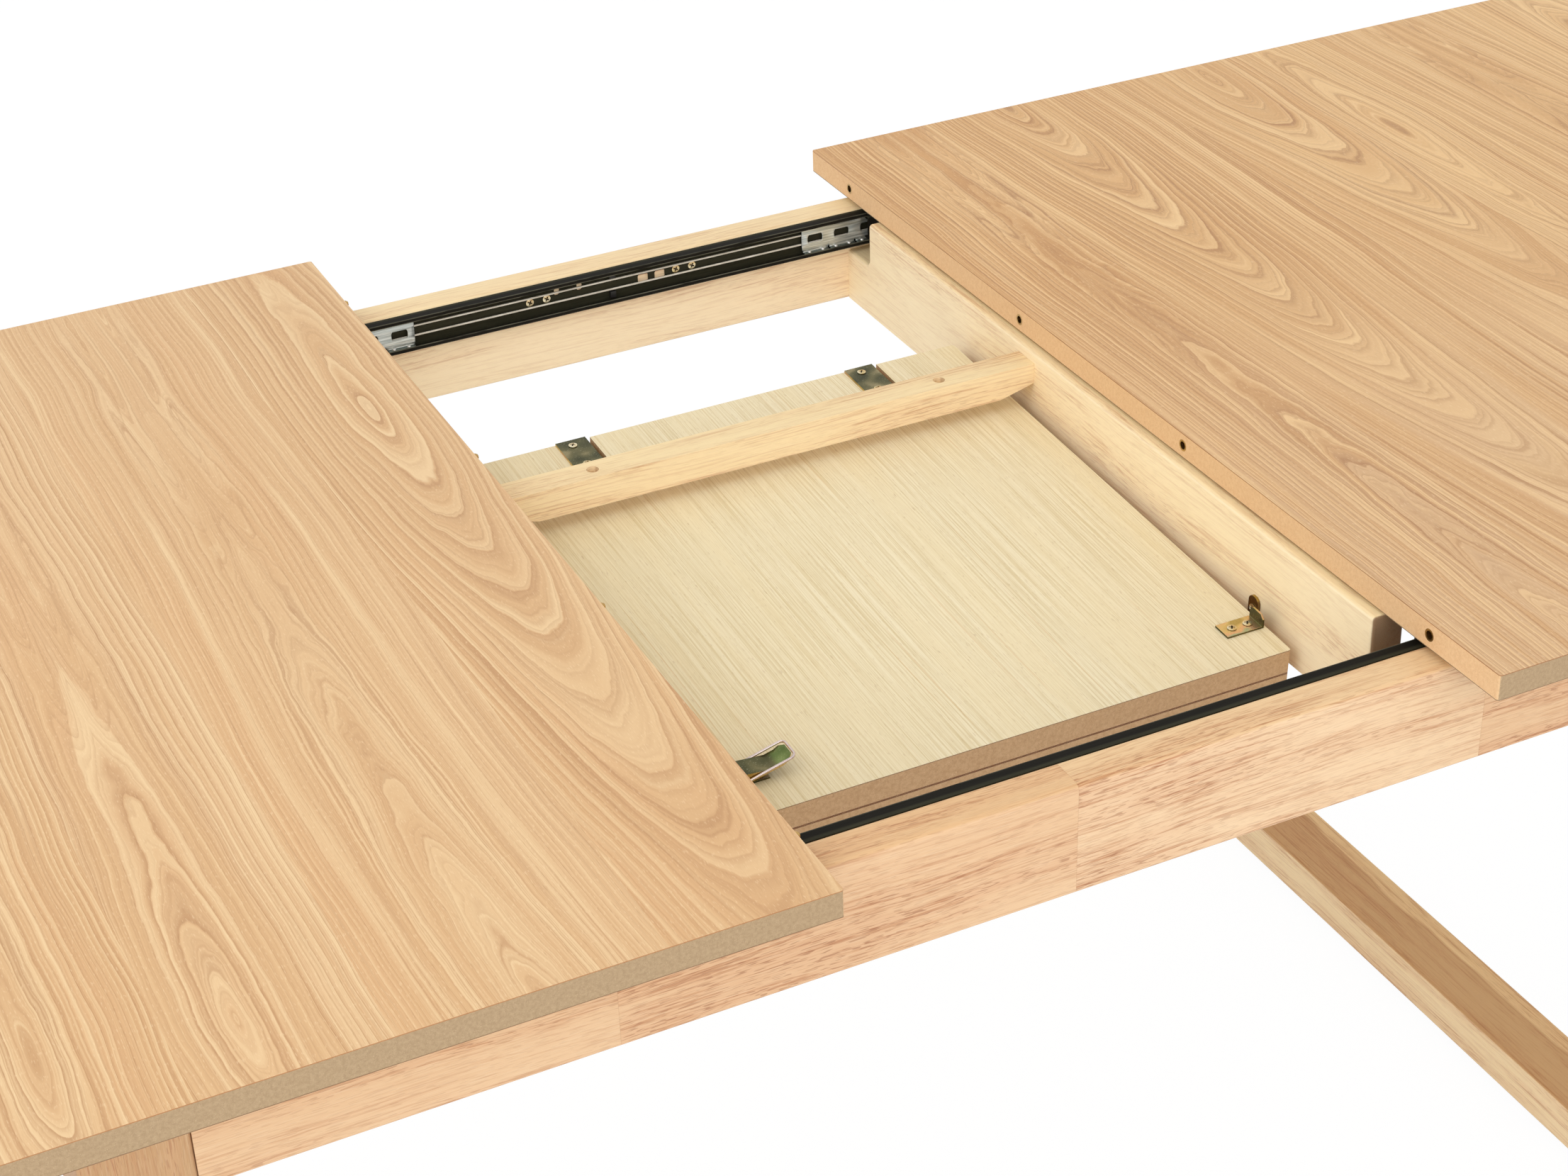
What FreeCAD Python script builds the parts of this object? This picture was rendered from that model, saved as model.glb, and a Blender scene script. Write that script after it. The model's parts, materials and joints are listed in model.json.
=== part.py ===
"""Extending dining table, drawn open, with its folded leaf stored under the gap.

Millimetres. X runs along the table, Y across it, Z up. The origin is on the floor under the
middle of the gap between the two tops. The leaf and its fittings are drawn level about their
hinge line and then tilted as they lie in the bay.
"""
import FreeCAD, Part
import os
import re
import Sketcher
from FreeCAD import Vector

SIZES = {
    # tops and leaf
    "table_height": 730, "top_length": 800, "top_width": 900, "core_thickness": 16.8,
    "veneer_thickness": 0.6, "opening": 432, "corner_round": 2, "leaf_length": 400,
    "leaf_slope": 2.85, "leaf_hinge_y": 181.6, "leaf_drop": 56.8, "leaf_gap": 0.3,
    # frame
    "frame_length": 1256, "frame_width": 800, "rail_thickness": 27, "rail_height": 77,
    "rail_gap": 5, "rail_round": 4, "leg_width": 60, "leg_depth": 60, "leg_round": 3,
    "end_rail_thickness": 28, "floor_rail_height": 39, "glide_height": 8, "glide_radius": 14,
    "glide_round": 2, "glide_inset": 40, "bay_length": 418, "cross_rail_thickness": 25,
    "cross_rail_gap": 2, "cross_rail_round": 3, "notch_width": 36, "notch_sill": 43,
    "notch_round": 6, "dowel_radius": 4, "dowel_length": 30, "rail_dowel_spread": 20,
    "leg_dowel_spread": 14, "sill_dowel_spread": 10.5,
    # keeper bar over the leaf
    "keeper_width": 23, "keeper_height": 23, "keeper_y": 87, "keeper_drop": 10,
    "keeper_cut_run": 28, "keeper_cut_rise": 7, "keeper_hole_radius": 4.3,
    "keeper_hole_depth": 5, "keeper_hole_spread": 136,
    # corner brackets and bolts
    "bracket_height": 30, "bracket_lift": 8, "bracket_metal": 2.5, "bracket_foot": 25,
    "bracket_span": 54, "bolt_radius": 3, "bolt_length": 44, "bolt_head_radius": 6,
    "bolt_head_height": 4, "bolt_play": 0.3,
    # wood screws
    "screw_radius": 1.7, "screw_length": 12, "screw_tip": 2, "screw_head_radius": 3.2,
    "screw_head_height": 1.2, "screw_cross_width": 0.8, "screw_cross_length": 3.6,
    "screw_cross_depth": 0.8, "screw_play": 0.2,
    # outer slide channels
    "channel_length": 1120, "channel_height": 27, "channel_depth": 9.2, "channel_wall": 1.2,
    "channel_lip": 2, "channel_lip_wall": 0.8, "channel_drop": 1, "stop_length": 5,
    "stop_depth": 3.2, "stop_height": 5.4, "stop_offset": 8.4, "hole_small_width": 4.6,
    "hole_small_height": 6.5, "hole_small_lift": 4, "hole_large_width": 9,
    "hole_large_height": 7, "hole_round": 1.6, "hole_small_near": 27, "hole_small_far": 46,
    "hole_large_near": 27, "hole_large_far": 41.4, "hole_large_drop": 1.6,
    "channel_screw_near": 55, "channel_screw_next": 69, "channel_screw_cage": 240,
    "channel_screw_end": 530,
    # synchronising cables and pulleys
    "cable_radius": 0.8, "cable_depth": 2.8, "pulley_pitch": 4, "pulley_x": 545,
    "pulley_radius": 5, "pulley_flange": 0.3, "pulley_spindle": 1.2, "pulley_play": 0.1,
    "cable_play": 0.3,
    # moving slide members
    "inner_length": 300, "inner_start": 222, "inner_depth": 4.9, "inner_web_depth": 9.6,
    "inner_wall": 1.2, "inner_flange": 21, "inner_flange_wall": 1.5, "fork_x": 500,
    "fork_length": 10, "fork_height": 4.4, "fork_depth": 1.7, "slide_screw_first": 240,
    "slide_screw_pitch": 130,
    # ball cages
    "cage_start": 165, "cage_length": 119, "cage_depth": 4, "cage_wall": 0.6,
    "cage_ledge_end": 8.1, "cage_ledge_wall": 0.8, "cage_pitch": 23.8, "window_length": 13,
    "window_height": 7, "flap_fall": 1.2, "flap_slit": 1.4, "ball_radius": 1.4,
    "ball_play": 0.2, "ball_hole_play": 0.15, "ball_depth": 6.2, "ball_spread": 6,
    # locating pins and bushes
    "pin_radius": 2.5, "pin_reach": 6, "pin_seat": 12, "pin_nose": 1.5, "bush_radius": 3.7,
    "bush_bore": 2.9, "bush_length": 13, "bush_collar": 0.5, "bush_collar_radius": 4.2,
    "pin_inner": 110, "pin_outer": 383,
    # latches and catches, measured inward from a board's edge and out from its face
    "latch_inset": 36, "latch_axle": 14, "latch_axle_rise": 6, "latch_axle_radius": 1.6,
    "barrel_radius": 2.8, "latch_metal": 1.2, "latch_span": 12.4, "latch_play": 0.3,
    "latch_base_start": 4, "latch_base_length": 36, "ear_length": 10, "ear_rise": 9,
    "ear_slant": 2, "latch_screw_first": 27, "latch_screw_pitch": 8.5, "lever_plate_start": 18,
    "lever_knee": 42, "lever_tip": 55, "lever_rise": 10, "lever_knee_rise": 7.8,
    "lever_tip_rise": 13.5, "lever_tip_corner": 3, "cheek_low": 2.4, "bail_pivot": 24,
    "bail_pivot_rise": 5, "bail_wire": 0.9, "bail_reach": 33.4, "bail_tilt": 15.3,
    "bail_bend": 3.5, "bail_hook": 2, "bail_hook_bend": 1.4, "catch_setback": 2,
    "catch_length": 28, "catch_width": 15, "catch_metal": 1.5, "catch_rise": 9.5,
    "catch_corner": 3, "catch_screw_first": 8, "catch_screw_pitch": 12,
    # leaf hinges
    "hinge_spread": 117, "hinge_plate_width": 21, "hinge_plate_length": 42, "hinge_metal": 1.5,
    "hinge_slot_width": 6, "hinge_slot_length": 34, "hinge_arm": 1.8, "hinge_pin_radius": 1.8,
    "hinge_eye_radius": 4.6, "hinge_play": 0.1, "hinge_screw_first": 8, "hinge_screw_pitch": 27,
    "hinge_arm_play": 0.35, "hinge_corner": 3,
    # supports under the leaf
    "support_width": 11, "support_metal": 2, "support_foot": 20, "support_play": 0.3,
    "front_support_reach": 395.6, "front_support_rise": 24.5, "front_screw_rise": 15.4,
    "rear_support_reach": 122, "rear_support_rise": 8, "rear_screw_rise": -3,
    "support_second_screw": 11,
    # how far cutting tools run past the face they start from
    "overrun": 1,
}

BOARD = "(core_thickness + 2*veneer_thickness)"
UNDER = f"(table_height - {BOARD})"
RAIL_TOP = f"({UNDER} - rail_gap)"
RAIL_BASE = f"({RAIL_TOP} - rail_height)"
RAIL_MIDDLE = f"({RAIL_TOP} - rail_height/2)"
RAIL_FACE = "(frame_width/2 - rail_thickness)"
LEG_X = "(frame_length/2 - leg_width/2)"
LEG_Y = "(frame_width/2 - leg_depth/2)"
FLOOR_RAIL_TOP = "(glide_height + floor_rail_height)"
CROSS_X = "(bay_length/2 + cross_rail_thickness/2)"
CROSS_TOP = f"({UNDER} - cross_rail_gap)"
KEEPER_Z = f"({UNDER} - keeper_drop - keeper_height/2)"
END_FACE = f"({LEG_X} - end_rail_thickness/2)"
SLIDE_Z = f"({RAIL_TOP} - channel_drop - channel_height/2)"
INNER_HALF = "(channel_height/2 - channel_wall - 2*ball_radius - 2*ball_play)"
BALL_RISE = "(channel_height/2 - channel_wall - ball_radius - ball_play)"
LATCH_Y = "(top_width/2 - latch_inset)"
PIN_Z = f"(table_height - {BOARD}/2)"
CHEEK_IN = "(latch_span/2 + latch_play)"
CHEEK_OUT = f"({CHEEK_IN} + latch_metal)"
HALF_FACE = f"(leaf_gap/2 + {BOARD})"

X_AXIS, Y_AXIS, Z_AXIS = "vector(1;0;0)", "vector(0;1;0)", "vector(0;0;1)"
TURNS = {"+x": (Y_AXIS, 90), "-x": (Y_AXIS, -90), "+y": (X_AXIS, -90), "-y": (X_AXIS, 90),
         "+z": (Z_AXIS, 0), "-z": (X_AXIS, 180)}
SIDES = (("left", -1), ("right", 1))
FACES = (("front", -1), ("back", 1))

doc = FreeCAD.newDocument("ExtendingTable")
sheet = doc.addObject("Spreadsheet::Sheet", "Sizes")
for row, (alias, size) in enumerate(SIZES.items(), start=1):
    sheet.set(f"A{row}", alias)
    sheet.set(f"B{row}", str(size))
    sheet.setAlias(f"B{row}", alias)
doc.recompute()

nodes = []


def linked(formula):
    """A formula in plain size words, with each word pointed at its cell in the sheet."""
    return re.sub(r"[a-z][a-z_]*",
                  lambda word: f"Sizes.{word.group(0)}" if word.group(0) in SIZES else word.group(0),
                  str(formula))


def number(formula):
    """The present value of a formula."""
    return float(sheet.evalExpression(linked(formula)))


def bind(thing, prop, formula):
    thing.setExpression(prop, linked(formula))


def at(x="0", y="0", z="0", axis=Z_AXIS, angle="0"):
    """The text of a place: a shift, after a turn about an axis."""
    return f"placement(vector({x}; {y}; {z}); rotation({axis}; {angle}))"


def facing(x, y, z, way):
    """A place whose own upward axis points along a signed world axis."""
    axis, angle = TURNS[way]
    return at(x, y, z, axis, angle)


def seat(thing, *places):
    """Put a thing at a place given in one frame inside another, outermost first."""
    bind(thing, "Placement", " * ".join(places))
    return thing


def node(label, thing):
    """Name a finished sub-part and keep it for the files."""
    thing.Label = label
    nodes.append(thing)
    return thing


def make(kind, **sizes):
    thing = doc.addObject(kind, kind.split("::")[1])
    for prop, formula in sizes.items():
        bind(thing, prop, formula)
    return thing


def block(centre, sides, *frames):
    """A box given by its middle and its three sides."""
    box = make("Part::Box", Length=sides[0], Width=sides[1], Height=sides[2])
    corner = [f"{middle} - ({side})/2" for middle, side in zip(centre, sides)]
    return seat(box, *frames, at(*corner))


def rod(place, radius, length, *frames):
    """A round bar that stands on a place and runs along its upward axis."""
    return seat(make("Part::Cylinder", Radius=radius, Height=length), *frames, place)


def together(pieces, kind="Part::Compound"):
    """Several pieces as a group of separate solids, or joined as one."""
    if len(pieces) == 1:
        return pieces[0]
    group = doc.addObject(kind, kind.split("::")[1])
    if kind == "Part::Compound":
        group.Links = pieces
    else:
        group.Shapes = pieces
    return group


def joined(pieces):
    return together(pieces, "Part::MultiFuse")


def cut(base, tools):
    """A piece with all its holes and slots taken out."""
    result = doc.addObject("Part::Cut", "Cut")
    result.Base, result.Tool = base, together(tools)
    return result


def copy_of(master, *places):
    """Another piece of the same make at its own place."""
    twin = doc.addObject("App::Link", "Twin")
    twin.LinkedObject = master
    return seat(twin, *places)


def new_sketch(body, plane, outline):
    """A closed outline of straight sides whose corners are formulas."""
    sketch = body.newObject("Sketcher::SketchObject", "Outline")
    origin_plane = next(part for part in body.Origin.OriginFeatures if part.Role == f"{plane}_Plane")
    sketch.AttachmentSupport = (origin_plane, [""])
    sketch.MapMode = "FlatFace"
    corners = [Vector(number(u), number(v), 0) for u, v in outline]
    for start, end in zip(corners, corners[1:] + corners[:1]):
        sketch.addGeometry(Part.LineSegment(start, end), False)
    for side in range(len(outline)):
        following = (side + 1) % len(outline)
        sketch.addConstraint(Sketcher.Constraint("Coincident", side, 2, following, 1))
    for side, (corner, formulas) in enumerate(zip(corners, outline)):
        for kind, place, formula in (("DistanceX", corner.x, formulas[0]),
                                     ("DistanceY", corner.y, formulas[1])):
            index = sketch.addConstraint(Sketcher.Constraint(kind, -1, 1, side, 1, place))
            sketch.setExpression(f"Constraints[{index}]", linked(formula))
    return sketch


def extrusion(plane, outline, length, middle=True, rounds=()):
    """An outline drawn out square to its plane, with chosen corners rounded."""
    body = doc.addObject("PartDesign::Body", "Body")
    pad = body.newObject("PartDesign::Pad", "Pad")
    pad.Profile = new_sketch(body, plane, outline)
    pad.Midplane = middle
    bind(pad, "Length", length)
    doc.recompute()
    for corners, radius in rounds:
        pad = round_edges(body, pad, plane, [outline[corner] for corner in corners], radius)
    return body


def round_edges(body, base, plane, corners, radius):
    """Round the edges that run square to the outline's plane through the given corners."""
    across = {"XY": ("x", "y"), "XZ": ("x", "z"), "YZ": ("y", "z")}[plane]
    spots = [(number(u), number(v)) for u, v in corners]
    slack = number("overrun") / 100
    chosen = []
    for index, edge in enumerate(base.Shape.Edges, start=1):
        ends = [[getattr(vertex.Point, name) for name in across] for vertex in edge.Vertexes]
        for u, v in spots:
            if len(ends) == 2 and all(abs(end[0] - u) + abs(end[1] - v) < slack for end in ends):
                chosen.append(f"Edge{index}")
    fillet = body.newObject("PartDesign::Fillet", "Round")
    fillet.Base = (base, chosen)
    bind(fillet, "Radius", radius)
    doc.recompute()
    return fillet


def lathe(outline):
    """A half profile, given as radius and height, turned about its upward axis."""
    body = doc.addObject("PartDesign::Body", "Body")
    sketch = new_sketch(body, "XZ", outline)
    turn = body.newObject("PartDesign::Revolution", "Turn")
    turn.Profile = sketch
    turn.ReferenceAxis = (sketch, ["V_Axis"])
    turn.Angle = 360
    return body


def signed(sign, formula):
    return f"({sign}*({formula}))"


# Wood screws: one master, copied to each place, and the holes that they need

screw_body = lathe([
    ("0", "-screw_length"), ("screw_radius", "screw_tip - screw_length"), ("screw_radius", "0"),
    ("screw_head_radius", "0"), ("screw_head_radius", "screw_head_height*0.35"),
    ("screw_head_radius*0.72", "screw_head_height"), ("0", "screw_head_height")])
cross_z = "screw_head_height - screw_cross_depth/2 + overrun/2"
cross_height = "screw_cross_depth + overrun"
screw = cut(screw_body, [
    block(("0", "0", cross_z), ("screw_cross_length", "screw_cross_width", cross_height)),
    block(("0", "0", cross_z), ("screw_cross_width", "screw_cross_length", cross_height))])


def screws_at(spots, *frames):
    return [copy_of(screw, *frames, spot) for spot in spots]


def screw_holes(spots, *frames, play="0", depth="screw_length"):
    """Drill tools that start above each screw's head side and run along its shank."""
    down = at("0", "0", f"-({depth})")
    return [rod(down, f"screw_radius + {play}", f"{depth} + overrun", *frames, spot) for spot in spots]


# Frame dowels: where each one lies, and which way

rail_end_dowels = {(side, face): [
    facing(signed(side, "frame_length/2 - leg_width - dowel_length/2"),
           signed(face, "frame_width/2 - rail_thickness/2"),
           f"{RAIL_MIDDLE} + {lift}*rail_dowel_spread", "+x" if side > 0 else "-x")
    for lift in (-1, 1)] for _, side in SIDES for _, face in FACES}
end_rail_dowels = {(side, face): [
    facing(signed(side, LEG_X), signed(face, "frame_width/2 - leg_depth - dowel_length/2"),
           f"{RAIL_MIDDLE} + {lift}*rail_dowel_spread", "+y" if face > 0 else "-y")
    for lift in (-1, 1)] for _, side in SIDES for _, face in FACES}
leg_foot_dowels = {(side, face): [
    facing(signed(side, LEG_X), f"{signed(face, LEG_Y)} + {shift}*leg_dowel_spread",
           f"{FLOOR_RAIL_TOP} - dowel_length/2", "+z")
    for shift in (-1, 1)] for _, side in SIDES for _, face in FACES}
sill_dowels = {(side, face): [
    facing(signed(side, CROSS_X), signed(face, f"{RAIL_FACE} - dowel_length/2"),
           f"{RAIL_BASE} + notch_sill/2 + {lift}*sill_dowel_spread", "+y" if face > 0 else "-y")
    for lift in (-1, 1)] for _, side in SIDES for _, face in FACES}
keeper_dowels = {side: facing(signed(side, "bay_length/2 - dowel_length/2"), "keeper_y", KEEPER_Z,
                              "+x" if side > 0 else "-x") for _, side in SIDES}


def dowel(place):
    return rod(place, "dowel_radius", "dowel_length")


all_dowels = [place for group in (rail_end_dowels, end_rail_dowels, leg_foot_dowels, sill_dowels)
              for places in group.values() for place in places] + list(keeper_dowels.values())
node("frame_dowels", together([dowel(place) for place in all_dowels]))

# Places of the screws that the frame carries

channel_screw_xs = [f"{side}*({size})" for size in (
    "channel_screw_near", "channel_screw_next", "channel_screw_cage", "channel_screw_end")
                      for side in (-1, 1)]
channel_screws = {face: [facing(x, signed(face, f"{RAIL_FACE} - channel_wall"), SLIDE_Z,
                                "-y" if face > 0 else "+y") for x in channel_screw_xs]
                  for _, face in FACES}
bracket_z = f"{RAIL_BASE} + bracket_lift + bracket_height/2"
bracket_rail_screws = {(side, face): facing(
    signed(side, f"{END_FACE} - bracket_span - bracket_foot*0.55"),
    signed(face, f"{RAIL_FACE} - bracket_metal"), bracket_z, "-y" if face > 0 else "+y")
    for _, side in SIDES for _, face in FACES}
bracket_end_screws = {(side, face): facing(
    signed(side, f"{END_FACE} - bracket_metal"),
    signed(face, f"{RAIL_FACE} - bracket_span - bracket_foot*0.55"), bracket_z,
    "-x" if side > 0 else "+x") for _, side in SIDES for _, face in FACES}
LEAF = at("0", "leaf_hinge_y", f"{UNDER} - leaf_drop", X_AXIS, "leaf_slope")
support_screws = {side: [f"{LEAF} * " + facing(signed(side, "bay_length/2 - support_metal"),
                                               f"-({reach})", rise, "-x" if side > 0 else "+x")
                         for reach, rise in (
    ("front_support_reach", "front_screw_rise"),
    ("front_support_reach", "front_screw_rise - support_second_screw"),
    ("rear_support_reach", "rear_screw_rise"))] for _, side in SIDES}


# Frame: long rails, legs, end rails, floor rails, cross rails and keeper bar

def bolt_place(side, face):
    """Middle of a corner bracket's slope, with the upward axis pointing into the leg."""
    return at(signed(side, f"{END_FACE} - bracket_span/2"),
              signed(face, f"{RAIL_FACE} - bracket_span/2"),
              bracket_z, f"vector({-face};{side};0)", "90")


def long_rail(label, face):
    y_out, y_in = signed(face, "frame_width/2"), signed(face, RAIL_FACE)
    outline = [(y_in, RAIL_BASE), (y_out, RAIL_BASE), (y_out, RAIL_TOP), (y_in, RAIL_TOP)]
    body = extrusion("YZ", outline, "frame_length - 2*leg_width",
                     rounds=[((2, 3), "rail_round"), ((0, 1), "rail_round/2")])
    places = [place for _, side in SIDES
              for place in rail_end_dowels[side, face] + sill_dowels[side, face]]
    screws = channel_screws[face] + [bracket_rail_screws[side, face] for _, side in SIDES]
    return node(label, cut(body, [dowel(place) for place in places] + screw_holes(screws)))


def leg(label, side, face):
    half_x, half_y = "leg_width/2", "leg_depth/2"
    body = extrusion("XY", [(f"-{half_x}", f"-{half_y}"), (half_x, f"-{half_y}"), (half_x, half_y),
                            (f"-{half_x}", half_y)], f"{RAIL_TOP} - {FLOOR_RAIL_TOP}", middle=False,
                     rounds=[((0, 1, 2, 3), "leg_round")])
    seat(body, at(signed(side, LEG_X), signed(face, LEG_Y), FLOOR_RAIL_TOP))
    places = rail_end_dowels[side, face] + end_rail_dowels[side, face] + leg_foot_dowels[side, face]
    bolt_hole = rod(at(), "bolt_radius", "bolt_length", bolt_place(side, face))
    return node(label, cut(body, [dowel(place) for place in places] + [bolt_hole]))


def end_rail(label, side):
    x_in, x_out = signed(side, END_FACE), signed(side, f"{END_FACE} + end_rail_thickness")
    body = extrusion("XZ", [(x_in, RAIL_BASE), (x_out, RAIL_BASE), (x_out, RAIL_TOP), (x_in, RAIL_TOP)],
                     "frame_width - 2*leg_depth", rounds=[((0, 1, 2, 3), "rail_round/2")])
    places = [place for _, face in FACES for place in end_rail_dowels[side, face]]
    screws = [bracket_end_screws[side, face] for _, face in FACES]
    return node(label, cut(body, [dowel(place) for place in places] + screw_holes(screws)))


def floor_rail(label, side):
    half = "leg_width/2"
    body = extrusion("XZ", [(f"-{half}", "glide_height"), (half, "glide_height"),
                            (half, FLOOR_RAIL_TOP), (f"-{half}", FLOOR_RAIL_TOP)], "frame_width",
                     rounds=[((0, 1, 2, 3), "leg_round")])
    seat(body, at(signed(side, LEG_X)))
    places = [place for _, face in FACES for place in leg_foot_dowels[side, face]]
    return node(label, cut(body, [dowel(place) for place in places]))


def cross_rail(label, side):
    """Outline with a notch at each end, where the slides pass over it."""
    near, inner, sill = RAIL_FACE, f"({RAIL_FACE} - notch_width)", f"{RAIL_BASE} + notch_sill"
    outline = [(f"-{near}", RAIL_BASE), (near, RAIL_BASE), (near, sill), (inner, sill),
               (inner, CROSS_TOP), (f"-{inner}", CROSS_TOP), (f"-{inner}", sill), (f"-{near}", sill)]
    body = extrusion("YZ", outline, "cross_rail_thickness",
                     rounds=[((3, 6), "notch_round"), ((4, 5), "notch_round/2")])
    fillet = body.newObject("PartDesign::Fillet", "TopRound")
    top, slack = number(CROSS_TOP), number("overrun") / 100
    fillet.Base = (body.Tip if body.Tip != fillet else body.Group[-2], [
        f"Edge{index}" for index, edge in enumerate(body.Shape.Edges, start=1)
        if edge.BoundBox.YLength > number(RAIL_FACE) and edge.BoundBox.ZMin > top - slack])
    bind(fillet, "Radius", "cross_rail_round")
    seat(body, at(signed(side, CROSS_X)))
    places = [place for _, face in FACES for place in sill_dowels[side, face]] + [keeper_dowels[side]]
    holes = screw_holes(support_screws[side])
    return node(label, cut(body, [dowel(place) for place in places] + holes))


def keeper_bar():
    half, low, high = "bay_length/2", "-keeper_height/2", "keeper_height/2"
    outline = [(f"-{half}", f"{low} + keeper_cut_rise"), (f"-{half} + keeper_cut_run", low),
               (f"{half} - keeper_cut_run", low), (half, f"{low} + keeper_cut_rise"), (half, high),
               (f"-{half}", high)]
    body = extrusion("XZ", outline, "keeper_width")
    seat(body, at("0", "keeper_y", KEEPER_Z))
    pits = [rod(at(signed(side, "keeper_hole_spread"), "keeper_y",
                   f"{KEEPER_Z} + {high} - keeper_hole_depth"),
                "keeper_hole_radius", "keeper_hole_depth + overrun") for _, side in SIDES]
    return node("keeper_bar", cut(body, pits + [dowel(place) for place in keeper_dowels.values()]))


for face_name, face in FACES:
    long_rail(f"rail_{face_name}", face)
for side_name, side in SIDES:
    end_rail(f"end_rail_{side_name}", side)
    cross_rail(f"cross_rail_{side_name}", side)
    floor_rail(f"floor_rail_{side_name}", side)
    for face_name, face in FACES:
        leg(f"leg_{face_name}_{side_name}", side, face)
keeper_bar()

glide = lathe([("0", "0"), ("glide_radius - glide_round", "0"), ("glide_radius", "glide_round"),
               ("glide_radius", "glide_height"), ("0", "glide_height")])
node("floor_glides", together([
    copy_of(glide, at(signed(side, LEG_X), signed(face, "frame_width/2 - glide_inset")))
    for _, side in SIDES for _, face in FACES]))


# Corner brackets, with a bolt through each into the leg

def corner_bracket(side, face):
    def spot(x_back, y_back):
        return signed(side, f"{END_FACE} - ({x_back})"), signed(face, f"{RAIL_FACE} - ({y_back})")

    span, reach, metal = "bracket_span", "bracket_span + bracket_foot", "bracket_metal"
    bend = f"{span} + {metal}*0.4"
    body = extrusion("XY", [spot(reach, "0"), spot(span, "0"), spot("0", span), spot("0", reach),
                            spot(metal, reach), spot(metal, bend), spot(bend, metal),
                            spot(reach, metal)], "bracket_height")
    seat(body, at("0", "0", bracket_z))
    screws = [bracket_rail_screws[side, face], bracket_end_screws[side, face]]
    bolt_hole = rod(at("0", "0", "-bracket_metal - overrun"), "bolt_radius + bolt_play",
                    "bracket_metal + 2*overrun", bolt_place(side, face))
    return cut(body, screw_holes(screws, play="screw_play") + [bolt_hole])


def corner_bolt(side, face):
    place = bolt_place(side, face)
    shank = rod(at("0", "0", "-bracket_metal"), "bolt_radius", "bolt_length + bracket_metal", place)
    head = make("Part::Prism", Circumradius="bolt_head_radius", Height="bolt_head_height")
    head.Polygon = 6
    seat(head, place, at("0", "0", "-bracket_metal - bolt_head_height"))
    return joined([shank, head])


corners = [(side, face) for _, side in SIDES for _, face in FACES]
node("corner_brackets", together([corner_bracket(side, face) for side, face in corners]))
node("corner_bolts", together([corner_bolt(side, face) for side, face in corners]))


# Supports that hold the leaf, tilted with it

def leaf_support(side, reach, rise, screws):
    foot_z = f"-{HALF_FACE} - support_play - support_metal/2"
    half = "support_width/2"
    body = extrusion("YZ", [(f"-{half}", f"-{HALF_FACE} - support_play - support_metal"),
                            (half, f"-{HALF_FACE} - support_play - support_metal"), (half, rise),
                            (f"-{half}", rise)], "support_metal",
                     rounds=[((2, 3), "support_width*0.45")])
    seat(body, at(signed(side, "bay_length/2 - support_metal/2"), f"-{reach}"))
    foot = block((signed(side, "bay_length/2 - support_foot/2"), f"-{reach}", foot_z),
                 ("support_foot", "support_width", "support_metal"))
    bracket = joined([body, foot])
    seat(bracket, LEAF)
    return cut(bracket, screw_holes(screws, play="screw_play", depth="support_metal + overrun"))


node("leaf_supports", together([
    leaf_support(side, reach, rise, chosen)
    for _, side in SIDES for reach, rise, chosen in (
        ("front_support_reach", "front_support_rise", support_screws[side][:2]),
        ("rear_support_reach", "rear_support_rise", support_screws[side][2:]))]))
frame_screws = [spot for spots in list(channel_screws.values()) + list(support_screws.values())
                for spot in spots]
frame_screws += list(bracket_rail_screws.values()) + list(bracket_end_screws.values())
node("frame_screws", together(screws_at(frame_screws)))


# Slides: fixed channels, stops, cables, pulleys, ball cages and moving members

def across(face, depth):
    """A place across the table, given as depth in from the long rail's inner face."""
    return signed(face, f"{RAIL_FACE} - ({depth})")


def outer_channel(face):
    half, wall, lip = "channel_height/2", "channel_wall", "channel_lip_wall"
    upper = [("0", half), ("channel_depth", half), ("channel_depth", f"{half} - {wall} - channel_lip"),
             (f"channel_depth - {lip}", f"{half} - {wall} - channel_lip"),
             (f"channel_depth - {lip}", f"{half} - {wall}"), (wall, f"{half} - {wall}")]
    lower = [(depth, f"-({rise})") for depth, rise in reversed(upper)]
    outline = [(across(face, depth), f"{SLIDE_Z} + {rise}") for depth, rise in upper + lower]
    body = extrusion("YZ", outline, "channel_length")
    holes = screw_holes(channel_screws[face], play="screw_play", depth="channel_wall + overrun")
    for middle, width, height, lift in (
            ("-hole_small_far", "hole_small_width", "hole_small_height", "hole_small_lift"),
            ("-hole_small_near", "hole_small_width", "hole_small_height", "hole_small_lift"),
            ("hole_large_near", "hole_large_width", "hole_large_height", "-hole_large_drop"),
            ("hole_large_far", "hole_large_width", "hole_large_height", "-hole_large_drop")):
        sides = [(f"{middle} + {u}*({width})/2", f"{SLIDE_Z} + {lift} + {v}*({height})/2")
                 for u, v in ((-1, -1), (1, -1), (1, 1), (-1, 1))]
        tool = extrusion("XZ", sides, "2*channel_wall + overrun", rounds=[((0, 1, 2, 3), "hole_round")])
        holes.append(seat(tool, at("0", across(face, "channel_wall/2"))))
    for _, side in SIDES:
        holes.append(rod(facing(signed(side, "pulley_x"), across(face, "-overrun"), SLIDE_Z,
                                "-y" if face > 0 else "+y"),
                         "pulley_spindle + pulley_play", "channel_wall + 2*overrun"))
    return cut(body, holes)


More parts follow.
